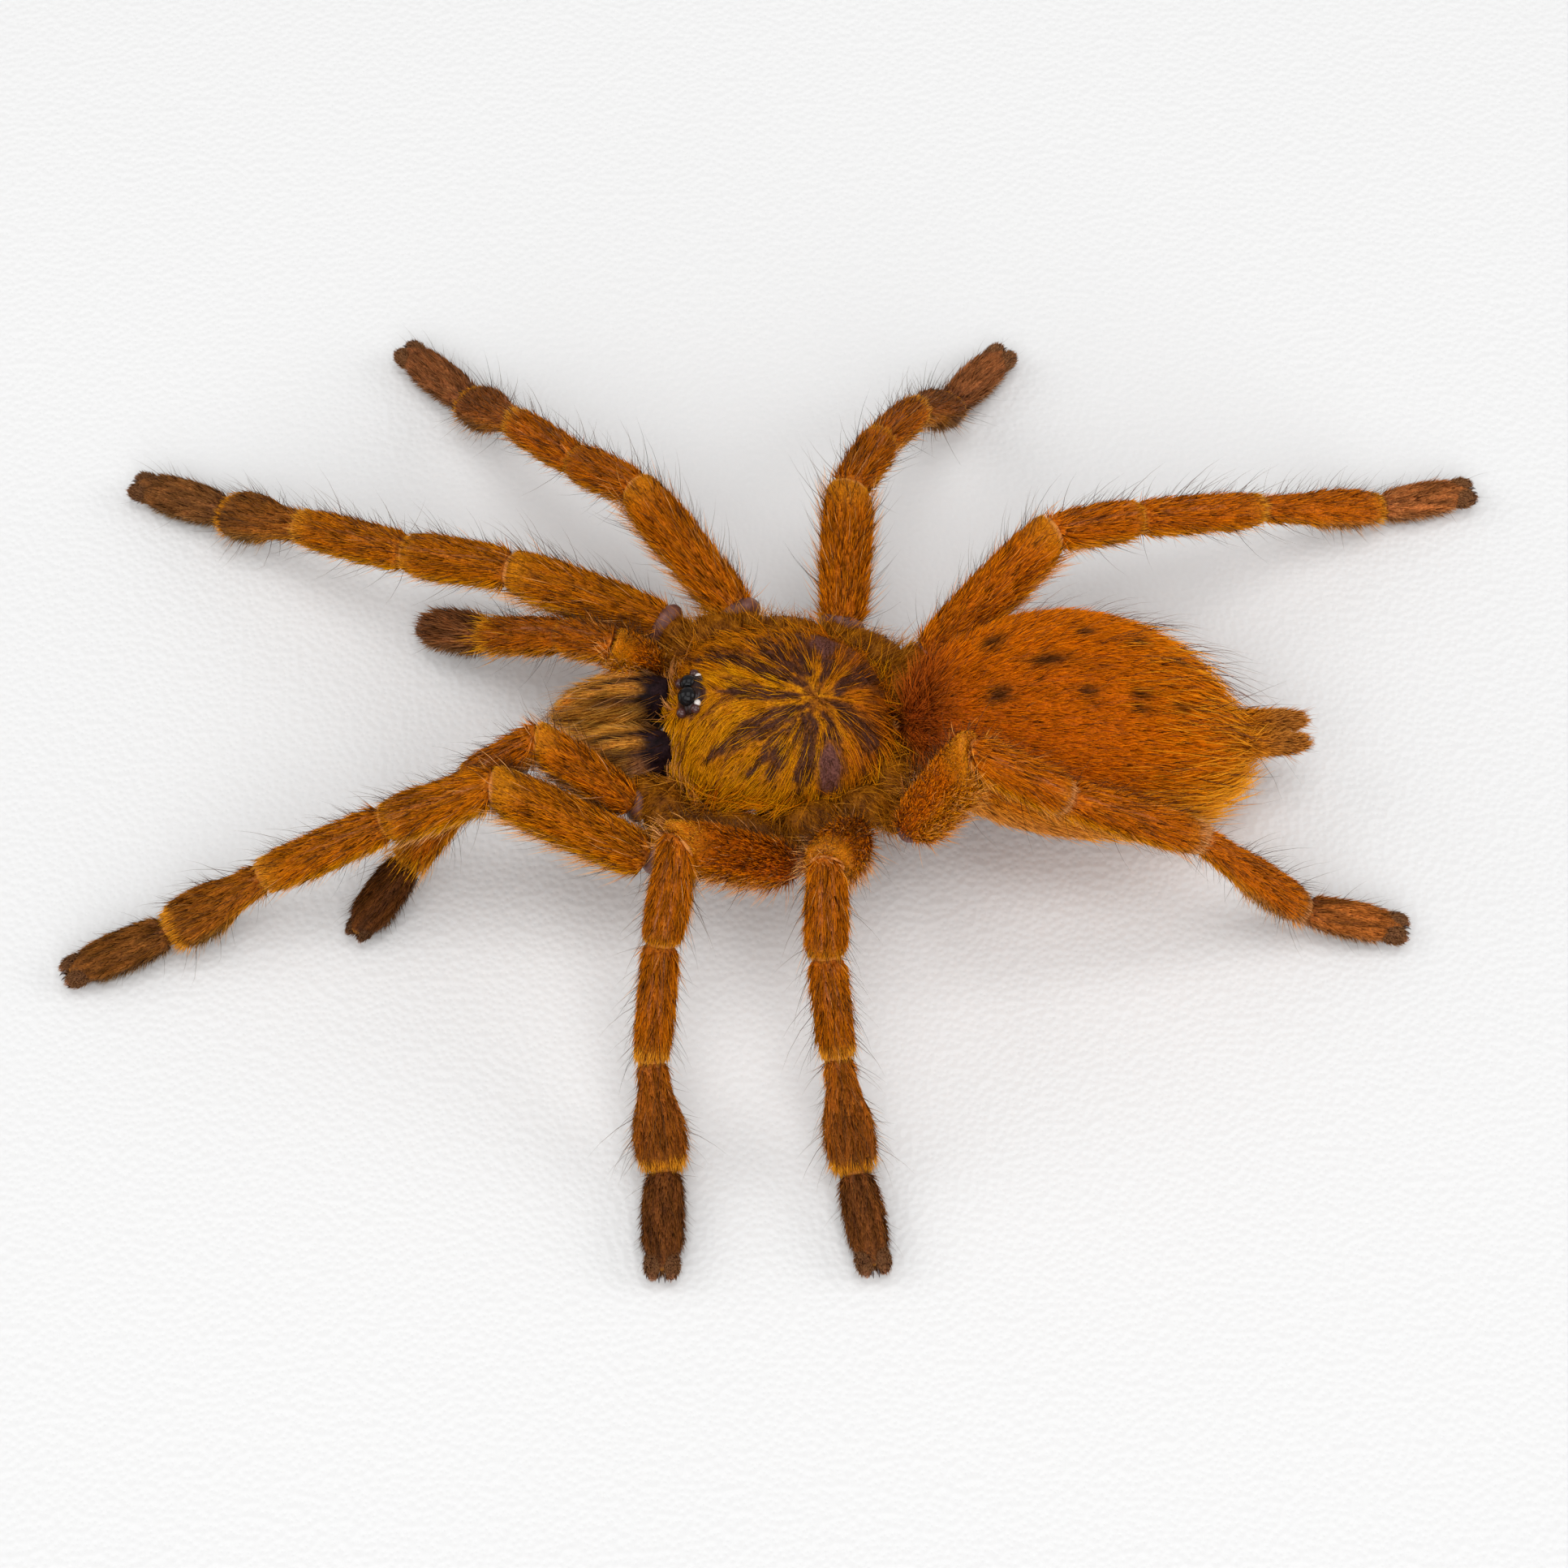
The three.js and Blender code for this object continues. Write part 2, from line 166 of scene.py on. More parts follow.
MM = 0.001
FIELDS = {"FLOAT": "value", "FLOAT_VECTOR": "vector", "FLOAT_COLOR": "color"}
ORANGE, RUST, GOLD = (1.0, 0.26, 0.003), (0.66, 0.135, 0.003), (1.0, 0.46, 0.005)
UMBER, MAROON, STRAW = (0.17, 0.055, 0.012), (0.3, 0.06, 0.01), (0.9, 0.42, 0.13)
MUSCLE_SPOTS = [  # place in millimetres, and half-lengths along and across the body
    (14.8, 1.9, 0.85, 0.7), (18.8, -0.6, 1.5, 0.5), (21.8, 2.3, 0.6, 0.5), (25.7, 1.9, 0.6, 0.5),
    (15.0, -2.9, 0.8, 0.7), (21.7, -3.4, 0.55, 0.5), (25.6, -3.2, 0.6, 0.4), (25.5, -4.4, 0.5, 0.4),
    (28.4, -3.5, 0.5, 0.5), (28.6, 0.9, 0.5, 0.4),
]


def placed(name, shell, *finishes):
    """A smooth object made of a shell, in its finish."""
    mesh = bpy.data.meshes.new(name)
    shell.to_mesh(mesh)
    shell.free()
    mesh.shade_smooth()
    for finish in finishes:
        mesh.materials.append(finish)
    piece = bpy.data.objects.new(name, mesh)
    bpy.context.scene.collection.objects.link(piece)
    return piece


def finished(obj):
    """The object's mesh with its modifiers applied."""
    graph = bpy.context.evaluated_depsgraph_get()
    mesh = bpy.data.meshes.new_from_object(obj.evaluated_get(graph))
    obj.modifiers.clear()
    obj.data = mesh
    return obj


def skin_of(node, name, swell, levels, finish):
    """A smooth skin over a solid, swollen a little to make up for what smoothing takes away."""
    shell = bmesh.new()
    shell.from_mesh(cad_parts[node].data)
    bmesh.ops.remove_doubles(shell, verts=shell.verts, dist=1e-6)
    bmesh.ops.join_triangles(
        shell, faces=shell.faces, angle_face_threshold=math.radians(50), angle_shape_threshold=math.radians(170)
    )
    shell.normal_update()
    for vert in shell.verts:
        vert.co += vert.normal * swell * MM
        vert.co.z = max(vert.co.z, 0.02 * MM)
    skin = placed(name, shell)
    rounding = skin.modifiers.new("rounding", "SUBSURF")
    rounding.levels = rounding.render_levels = levels
    finished(skin).data.materials.append(finish)
    return skin


def surface(mesh):
    """Every point of a mesh in millimetres, and its outward direction."""
    count = len(mesh.vertices)
    points, outward = np.zeros(count * 3, np.float32), np.zeros(count * 3, np.float32)
    mesh.vertices.foreach_get("co", points)
    mesh.vertices.foreach_get("normal", outward)
    return points.reshape(-1, 3).astype(float) / MM, outward.reshape(-1, 3).astype(float)


def paint(mesh, **layers):
    """Stores numbers, the hair's flow or its colours (dye, with painted light and shade on some pieces), one for every
    point of a mesh or one for all of them.
    """
    count = len(mesh.vertices)
    for name, values in layers.items():
        shape = (count, 3) if name.endswith(("flow", "dye")) else (count,)
        kind = "FLOAT" if shape == (count,) else "FLOAT_VECTOR" if name == "flow" else "FLOAT_COLOR"
        values = np.broadcast_to(np.asarray(values, np.float32), shape)
        if kind == "FLOAT_COLOR":
            values = np.concatenate([values, np.ones((count, 1), np.float32)], 1)
        layer = mesh.attributes.new(name, kind, "POINT")
        layer.data.foreach_set(FIELDS[kind], np.ascontiguousarray(values).ravel())


def ramp(low, high, value):
    """0 below low, 1 above high, and smooth between."""
    t = np.clip((value - low) / (high - low), 0, 1)
    return t * t * (3 - 2 * t)


def blend(first, second, share):
    """A colour for every point, from first to second."""
    first, second = np.atleast_2d(np.asarray(first, float)), np.atleast_2d(np.asarray(second, float))
    share = np.asarray(share, float)[:, None]
    return first * (1 - share) + second * share


def within_white(dye):
    """The same hue, no brighter than a hair can be."""
    return dye / np.maximum(dye.max(axis=1, keepdims=True), 1.0)


def unit(vectors):
    return vectors / np.maximum(np.linalg.norm(vectors, axis=-1, keepdims=True), 1e-9)


def along_skin(direction, outward):
    """The part of a direction that lies in the skin."""
    return unit(direction - (direction * outward).sum(1, keepdims=True) * outward)


def blotches(points, size, seed):
    """Smooth irregular patches from 0 to 1, a few sines in turned directions."""
    draw = np.random.default_rng(seed)
    total = np.zeros(len(points))
    for _ in range(7):
        wave = unit(draw.normal(size=3)) * (2 * math.pi / size) * draw.uniform(0.6, 1.6)
        total += np.sin(points @ wave + draw.uniform(0, 2 * math.pi))
    return np.clip(0.5 + total / 6, 0, 1)


def locks(points, flow, width, long, seed):
    """Streaks from 0 to 1 that follow the flow: sines, of which only those across the flow are left."""
    draw = np.random.default_rng(seed)
    total, weight = np.zeros(len(points)), np.zeros(len(points))
    for _ in range(60):
        wave = unit(draw.normal(size=3)) * (2 * math.pi / width) * draw.uniform(0.6, 1.4)
        kept = np.sinc(flow @ wave * long / (2 * math.pi))
        total += kept * np.sin(points @ wave + draw.uniform(0, 2 * math.pi))
        weight += kept**2
    return np.clip(0.5 + 0.42 * total / np.sqrt(np.maximum(weight, 1e-6)), 0, 1)


def combed_hair_tree():
    """Hair that grows out of painted skin: thin bent cones, laid along the flow and coloured by the skin's dye and
    painted light and shade.
    """
    tree = bpy.data.node_groups.new("combed_hair", "GeometryNodeTree")
    sockets = [
        ("Skin", "Geometry"), ("Hairs per mm2", "Float"), ("Length", "Float"), ("Length spread", "Float"),
        ("Root width", "Float"), ("Lift", "Float"), ("Droop", "Float"), ("Ruffle", "Float"), ("Tufts", "Float"),
        ("Mottle", "Float"), ("Fairness", "Float"), ("Bends", "Int"),
        ("Seed", "Int"), ("Coat", "String"), ("Reach", "String"), ("Dye", "String"), ("Finish", "Material"),
    ]
    for name, kind in sockets:
        tree.interface.new_socket(name, in_out="INPUT", socket_type="NodeSocket" + kind)
    tree.interface.new_socket("Hair", in_out="OUTPUT", socket_type="NodeSocketGeometry")
    given = tree.nodes.new("NodeGroupInput").outputs

    def maths(operation, first, second):
        node = wire(tree, "ShaderNodeMath", operation=operation)
        for socket, value in zip(node.inputs, (first, second)):
            if isinstance(value, bpy.types.NodeSocket):
                tree.links.new(value, socket)
            else:
                socket.default_value = value
        return node.outputs[0]

    def vectors(operation, first, second):
        node = wire(tree, "ShaderNodeVectorMath", operation=operation)
        second_socket = node.inputs["Scale"] if operation == "SCALE" else node.inputs[1]
        tree.links.new(first, node.inputs[0])
        if isinstance(second, bpy.types.NodeSocket):
            tree.links.new(second, second_socket)
        else:
            second_socket.default_value = second
        return node.outputs[0]

    def painted(name, kind):
        return wire(tree, "GeometryNodeInputNamedAttribute", {"Name": name}, data_type=kind).outputs["Attribute"]

    def chance(low, high, step, kind="FLOAT"):
        seed = maths("ADD", given["Seed"], float(step))
        node = wire(tree, "FunctionNodeRandomValue", {"Seed": seed}, data_type=kind)
        lows = [s for s in node.inputs if s.name == "Min" and s.enabled]
        highs = [s for s in node.inputs if s.name == "Max" and s.enabled]
        lows[0].default_value = low
        highs[0].default_value = high
        return [s for s in node.outputs if s.enabled][0]

    thickness = maths("MULTIPLY", maths("MULTIPLY", given["Hairs per mm2"], 1e6), painted(given["Coat"], "FLOAT"))
    roots = wire(
        tree, "GeometryNodeDistributePointsOnFaces",
        {"Mesh": given["Skin"], "Density": thickness, "Seed": given["Seed"]}, distribute_method="RANDOM",
    )
    outward = roots.outputs["Normal"]
    flow = vectors("ADD", painted("flow", "FLOAT_VECTOR"), vectors("SCALE", outward, given["Lift"]))
    ruffled = vectors("SCALE", chance((-1, -1, -1), (1, 1, 1), 1, "FLOAT_VECTOR"), given["Ruffle"])
    root_place = wire(tree, "GeometryNodeInputPosition").outputs[0]
    swirl = wire(tree, "ShaderNodeTexNoise", {"Vector": root_place, "Scale": 900.0, "Detail": 1.0}).outputs["Color"]
    tufted = vectors("SCALE", vectors("SUBTRACT", swirl, (0.5, 0.5, 0.5)), given["Tufts"])
    heading = vectors("ADD", vectors("ADD", flow, ruffled), tufted)
    turned = wire(
        tree, "FunctionNodeAxesToRotation", {"Primary Axis": heading, "Secondary Axis": outward},
        primary_axis="Z", secondary_axis="X",
    )
    slim = maths("DIVIDE", maths("MULTIPLY", given["Root width"], 0.5), given["Length"])
    cone = wire(
        tree, "GeometryNodeMeshCone",
        {"Vertices": 3, "Side Segments": given["Bends"], "Radius Top": 0.0, "Radius Bottom": slim, "Depth": 1.0},
        fill_type="NGON",
    )
    height = wire(tree, "ShaderNodeSeparateXYZ", {0: wire(tree, "GeometryNodeInputPosition").outputs[0]}).outputs["Z"]
    marked = wire(
        tree, "GeometryNodeStoreNamedAttribute", {"Geometry": cone.outputs["Mesh"], "Name": "along", "Value": height},
        data_type="FLOAT", domain="POINT",
    )
    sag = maths("MULTIPLY", maths("MULTIPLY", height, height), maths("MULTIPLY", given["Droop"], -1.0))
    bent = wire(
        tree, "GeometryNodeSetPosition",
        {"Geometry": marked.outputs[0], "Offset": wire(tree, "ShaderNodeCombineXYZ", {"X": sag}).outputs[0]},
    )
    shortest = maths("SUBTRACT", 1.0, given["Length spread"])
    unevenly = maths("ADD", shortest, maths("MULTIPLY", chance(0.0, 2.0, 2), given["Length spread"]))
    size = maths("MULTIPLY", maths("MULTIPLY", given["Length"], unevenly), painted(given["Reach"], "FLOAT"))
    size = maths("MULTIPLY", size, MM)
    dyed = wire(
        tree, "GeometryNodeStoreNamedAttribute",
        {"Geometry": roots.outputs["Points"], "Name": "dye", "Value": painted(given["Dye"], "FLOAT_COLOR")},
        data_type="FLOAT_COLOR", domain="POINT",
    )
    clump = wire(tree, "ShaderNodeTexNoise", {"Vector": root_place, "Scale": 1700.0, "Detail": 1.0}).outputs["Fac"]
    single = maths("MULTIPLY", chance(0.0, 1.0, 3), 0.7)
    shade = maths("ADD", single, maths("MULTIPLY", maths("SUBTRACT", clump, 0.36), given["Mottle"]))
    shade = maths("ADD", shade, given["Fairness"])
    toned = wire(
        tree, "GeometryNodeStoreNamedAttribute",
        {"Geometry": dyed.outputs[0], "Name": "tone", "Value": shade}, data_type="FLOAT", domain="POINT",
    )
    planted = wire(
        tree, "GeometryNodeInstanceOnPoints",
        {"Points": toned.outputs[0], "Instance": bent.outputs[0], "Rotation": turned.outputs[0], "Scale": size},
    )
    real = wire(tree, "GeometryNodeRealizeInstances", {"Geometry": planted.outputs[0]})
    spot = wire(tree, "ShaderNodeSeparateXYZ", {0: wire(tree, "GeometryNodeInputPosition").outputs[0]}).outputs
    above = maths("MAXIMUM", spot["Z"], 0.00004)
    kept_up = wire(tree, "ShaderNodeCombineXYZ", {"X": spot["X"], "Y": spot["Y"], "Z": above}).outputs[0]
    rested = wire(tree, "GeometryNodeSetPosition", {"Geometry": real.outputs[0], "Position": kept_up})
    smooth = wire(tree, "GeometryNodeSetShadeSmooth", {"Geometry": rested.outputs[0]})
    coloured = wire(tree, "GeometryNodeSetMaterial", {"Geometry": smooth.outputs[0], "Material": given["Finish"]})
    wire(tree, "NodeGroupOutput", {"Hair": coloured.outputs[0]})
    return tree


combed_hair = combed_hair_tree()

hair_finish, tree, shader = new_finish(
    "tarantula_hair", Roughness=0.4, Specular_IOR_Level=0.04, Specular_Tint=(1.0, 0.5, 0.12, 1)
)
# The dye read here is the hair's colour, with the painted light and shade of the skin it grew on.
dye, tone, along = (wire(tree, "ShaderNodeAttribute", attribute_name=name).outputs for name in ("dye", "tone", "along"))
dusky_to_fair = shades(
    tree, tone["Fac"],
    (0.0, (0.1, 0.07, 0.1)), (0.22, (0.2, 0.14, 0.15)), (0.3, (0.72, 0.62, 0.5)), (0.62, (1.0, 0.95, 0.9)),
    (1.0, (1, 1, 1)),
)
root_to_tip = shades(tree, along["Fac"], (0.0, (0.5, 0.4, 0.33)), (0.6, (1, 1, 1)))


def tinted(tree, first, second):
    """One colour seen through another."""
    node = wire(tree, "ShaderNodeMix", {"Factor": 1.0, 6: first, 7: second}, data_type="RGBA", blend_type="MULTIPLY")
    return node.outputs[2]


tree.links.new(tinted(tree, tinted(tree, dye["Color"], dusky_to_fair), root_to_tip), shader.inputs["Base Color"])


def coat(
    per_mm2, length, width, lift, seed, ruffle=0.2, tufts=0.3, bends=1, droop=0.15, mottle=0.7, fairness=0.04,
    where="coat", reach="reach", dye="hair_dye",
):
    """One coat of hair: hairs a square millimetre, length and root width in millimetres, then how it lies."""
    return {
        "Hairs per mm2": per_mm2, "Length": length, "Length spread": 0.3, "Root width": width, "Lift": lift,
        "Droop": droop, "Ruffle": ruffle, "Tufts": tufts, "Mottle": mottle, "Fairness": fairness, "Bends": bends,
        "Seed": seed, "Coat": where, "Reach": reach, "Dye": dye, "Finish": hair_finish,
    }


def grow(name, skin, *coats):
    """One piece of hair from several coats on the same painted skin."""
    tree = bpy.data.node_groups.new(name + "_coats", "GeometryNodeTree")
    tree.interface.new_socket("Skin", in_out="INPUT", socket_type="NodeSocketGeometry")
    tree.interface.new_socket("Hair", in_out="OUTPUT", socket_type="NodeSocketGeometry")
    given = tree.nodes.new("NodeGroupInput").outputs
    together = tree.nodes.new("GeometryNodeJoinGeometry")
    for sizes in coats:
        group = wire(tree, "GeometryNodeGroup", {}, node_tree=combed_hair)
        tree.links.new(given["Skin"], group.inputs["Skin"])
        for key, value in sizes.items():
            group.inputs[key].default_value = value
        tree.links.new(group.outputs["Hair"], together.inputs[0])
    wire(tree, "NodeGroupOutput", {"Hair": together.outputs[0]})
    hair = bpy.data.objects.new(name, skin)
    bpy.context.scene.collection.objects.link(hair)
    hair.modifiers.new("coats", "NODES").node_group = tree
    finished(hair)
    kept = ("dye", "tone", "along", "sharp_face", "material_index")
    for layer in [layer.name for layer in hair.data.attributes]:
        attribute = hair.data.attributes[layer]
        if layer not in kept and not attribute.is_required and not attribute.is_internal:
            hair.data.attributes.remove(attribute)
    return hair


def settle(piece, slot, *nodes):
    """A finished piece goes with the body, and stands for the solids it was made from."""
    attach(piece, "root")
    if nodes:
        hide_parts(*nodes)


skin_finish, tree, shader = new_finish("hairy_cuticle", Roughness=0.5, Specular_IOR_Level=0.06)
# The skin's colour layers, with painted light and shade on some pieces.
skin_dyes = {
    name: wire(tree, "ShaderNodeAttribute", attribute_name=name).outputs for name in ("hair_dye", "bare", "shell_dye")
}
stubble = clouds(tree, 5200.0, 4.0, Roughness=0.7)
patches = shades(tree, stubble, (0.35, (0.25, 0.16, 0.14)), (0.7, (0.75, 0.65, 0.55)))
grains = shades(tree, stubble, (0.38, (0.35, 0.3, 0.3)), (0.66, (1.0, 1.0, 1.0)))
covered = tinted(tree, skin_dyes["hair_dye"]["Color"], patches)
scuffed = tinted(tree, skin_dyes["shell_dye"]["Color"], grains)
by_bareness = {"Factor": skin_dyes["bare"]["Fac"], 6: covered, 7: scuffed}
skin_colour = wire(tree, "ShaderNodeMix", by_bareness, data_type="RGBA")
tree.links.new(skin_colour.outputs[2], shader.inputs["Base Color"])
roughen(tree, shader, stubble, 0.5, 0.00005)

abdomen = skin_of("abdomen", "abdomen_skin", 0.25, 3, skin_finish)
points, outward = surface(abdomen.data)
x, y, z = points.T
facing_up = outward[:, 2]
spot = np.zeros(len(points))
for spot_x, spot_y, long, wide in MUSCLE_SPOTS:
    distance = ((x - spot_x) / (1.15 * long)) ** 2 + ((y - spot_y) / (1.15 * wide)) ** 2
    spot = np.maximum(spot, np.exp(-(distance**1.2)) * (facing_up > 0.2))
rearwards = ramp(8.5, 33.0, x)
low = ramp(0.25, -0.5, facing_up)
top = ramp(-0.2, 0.3, facing_up)
mottle = blotches(points, 2.4, 5)
flow = along_skin(np.array([1.0, 0.0, -0.12]), outward)
# Redder towards the waist: painted shade.
dye = blend(RUST, ORANGE, np.clip(0.3 + 0.7 * ramp(9, 15, x), 0, 1))
# More golden low on the sides, below and at the hind end: partly the hair's own colour, partly painted light.
dye = blend(dye, GOLD, 0.45 * ramp(0.6, -0.1, facing_up) + 0.15 * ramp(0.6, 1, rearwards))
dye = blend(dye, RUST, 0.2 * mottle)
dye = blend(dye, UMBER, np.clip(1.1 * spot, 0, 1))
# Darker on top towards the waist: painted shade.
dye = blend(dye, MAROON, 0.75 * ramp(13.0, 9.5, x) * top)
# Paler straw below: partly the hair's own colour, partly painted light.
dye = blend(dye, STRAW, low * 0.6)
dye = dye * (0.84 + 0.3 * locks(points, flow, 0.9, 1.6, 15))[:, None]
# Brighter on the sides and below than on top: painted light.
dye = within_white(dye * (1.5 - 0.58 * ramp(0.45, 1.0, facing_up))[:, None])
paint(
    abdomen.data, hair_dye=dye, under_dye=dye * 0.6, bare=0.0, shell_dye=dye * 0.5, flow=flow,
    coat=np.where(z > 1.05, 1.0, 0.0) * (1 - 0.55 * low) * (1 - 0.7 * ramp(9.5, 8.4, x)),
    reach=0.85 + 0.5 * ramp(0.7, 1, rearwards) + 0.25 * ramp(0.3, -0.2, facing_up),
    fringe=ramp(0.35, 1.0, rearwards) * ramp(0.75, 0.1, facing_up) + 0.25 * ramp(0.6, 1, rearwards),
    bristle=top * (0.6 + 0.4 * ramp(0.5, 1.0, rearwards)),
    stubble=top * (1.1 - rearwards),
    ruff=ramp(11.0, 9.6, x) * ramp(-0.8, -0.3, facing_up),
    fringe_dye=blend(dye, (1.0, 0.42, 0.02), np.full(len(points), 0.8)),
    bristle_dye=blend((0.3, 0.12, 0.04), (0.12, 0.05, 0.03), mottle),
)
settle(grow(
    "abdomen_hair", abdomen.data,
    coat(6.0, 1.0, 0.1, 0.4, 19, ruffle=0.3, dye="under_dye"),
    coat(24.0, 1.1, 0.1, 0.28, 12, ruffle=0.24, tufts=0.25, mottle=1.0, fairness=0.42),
), "abdomen")
settle(grow(
    "abdomen_long_hair", abdomen.data,
    coat(3.0, 1.7, 0.085, 0.42, 21, bends=2, fairness=0.35),
    coat(12.0, 2.6, 0.09, 1.0, 24, ruffle=0.6, bends=2, where="ruff"),
    coat(4.5, 2.7, 0.09, 0.36, 22, bends=2, where="fringe", dye="fringe_dye", fairness=0.45),
    coat(2.6, 1.3, 0.055, 0.9, 25, ruffle=0.4, where="stubble", dye="bristle_dye"),
    coat(0.85, 4.2, 0.044, 1.0, 23, ruffle=0.4, bends=3, droop=0.45, where="bristle", dye="bristle_dye"),
), "abdomen")
settle(abdomen, "abdomen", "abdomen")

# ======================================================== Limbs: plates, joints and hair
# Each leg has five stiff tubes and each feeler four, all hairy. Two bare lines run down the back of the knee
# and shin plates, a bright fringe rings each plate's outer end, and soft folded skin joins the plates.

SEGMENTS = {
    "leg": ["femur", "patella", "tibia", "metatarsus", "tarsus"], "palp": ["femur", "patella", "tibia", "tarsus"],
}
LIMBS = [f"{side}_{limb}" for limb in ("leg_1", "leg_2", "leg_3", "leg_4", "palp") for side in ("right", "left")]
BODY_MIDDLE = Vector((-1.0, -1.0, 8.0)) * MM
# For each kind of plate: how dusky its hair is, how long its coat is, how shaggy its underside and how long the
# hair hangs there, and the width in millimetres and the hair's reach of the bright ring at its end.
PLATE_RULES = {
    "femur": (0.0, 1.0, 1.0, 1.0, 0.12, 0.45), "patella": (0.0, 1.0, 0.55, 0.75, 0.3, 0.75),
    "tibia": (0.03, 0.95, 0.5, 0.7, 0.6, 0.9), "metatarsus": (0.35, 0.85, 0.4, 0.6, 0.8, 0.9),
    "tarsus": (0.95, 0.72, 0.12, 0.5, 0.0, 0.9),
}
PEACH, PALE_RING = (1.0, 0.52, 0.26), (0.95, 0.44, 0.14)
# Painted light and shade: each limb's hair made lighter or darker as the light falls on it.
LIMB_LIGHTNESS = {"right_leg_4": 1.5, "left_leg_4": 1.45, "left_leg_2": 1.0, "right_leg_2": 1.15}  # else 1.08
# Painted light and shade: each foot made lighter or darker as the light falls on it.
FOOT_LIGHTNESS = {
    "right_palp": 1.25, "right_leg_2": 1.25, "right_leg_3": 1.5, "right_leg_4": 1.3,
    "left_palp": 0.5, "left_leg_2": 0.75, "left_leg_3": 0.8, "left_leg_4": 1.35,
}

joint_finish, tree, shader, creases = stained(
    "joint_skin", 2600.0, 3.0, (0.42, 0.12, 0.015), (0.8, 0.32, 0.07), 0.3, 0.75, Roughness=0.5, Specular_IOR_Level=0.15
)
roughen(tree, shader, creases, 0.6, 0.00008)


def axis_ends(node, start):
    """The two end points of a plate's long axis, the one nearer to start first, in metres."""
    shell = bmesh.new()
    shell.from_mesh(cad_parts[node].data)
    bmesh.ops.remove_doubles(shell, verts=shell.verts, dist=1e-6)
    poles = sorted(shell.verts, key=lambda vert: -len(vert.link_edges))[:2]
    ends = sorted((vert.co.copy() for vert in poles), key=lambda end: (end - start).length)
    shell.free()
    return ends


def bead(name, centre, facing, halves, finish, around=20, down=12, ridge=0.0):
    """A closed rounded bead with three half-widths in metres, ridged where soft skin folds."""
    ball = bmesh.new()
    bmesh.ops.create_uvsphere(ball, u_segments=around, v_segments=down, radius=1.0)
    for vert in ball.verts:
        swell = 1 + ridge * math.sin(vert.co.z * 16)
        vert.co.x *= swell
        vert.co.y *= swell
    turn = facing.to_track_quat("Z", "Y").to_matrix().to_4x4()
    ball.transform(Matrix.Translation(centre) @ turn @ Matrix.Diagonal((*halves, 1.0)))
    return placed(name, ball, finish)


def joined(name, meshes):
    """One mesh of several painted skins, with their paint."""
    whole = bmesh.new()
    for mesh in meshes:
        whole.from_mesh(mesh)
    result = bpy.data.meshes.new(name)
    whole.to_mesh(result)
    whole.free()
    return result


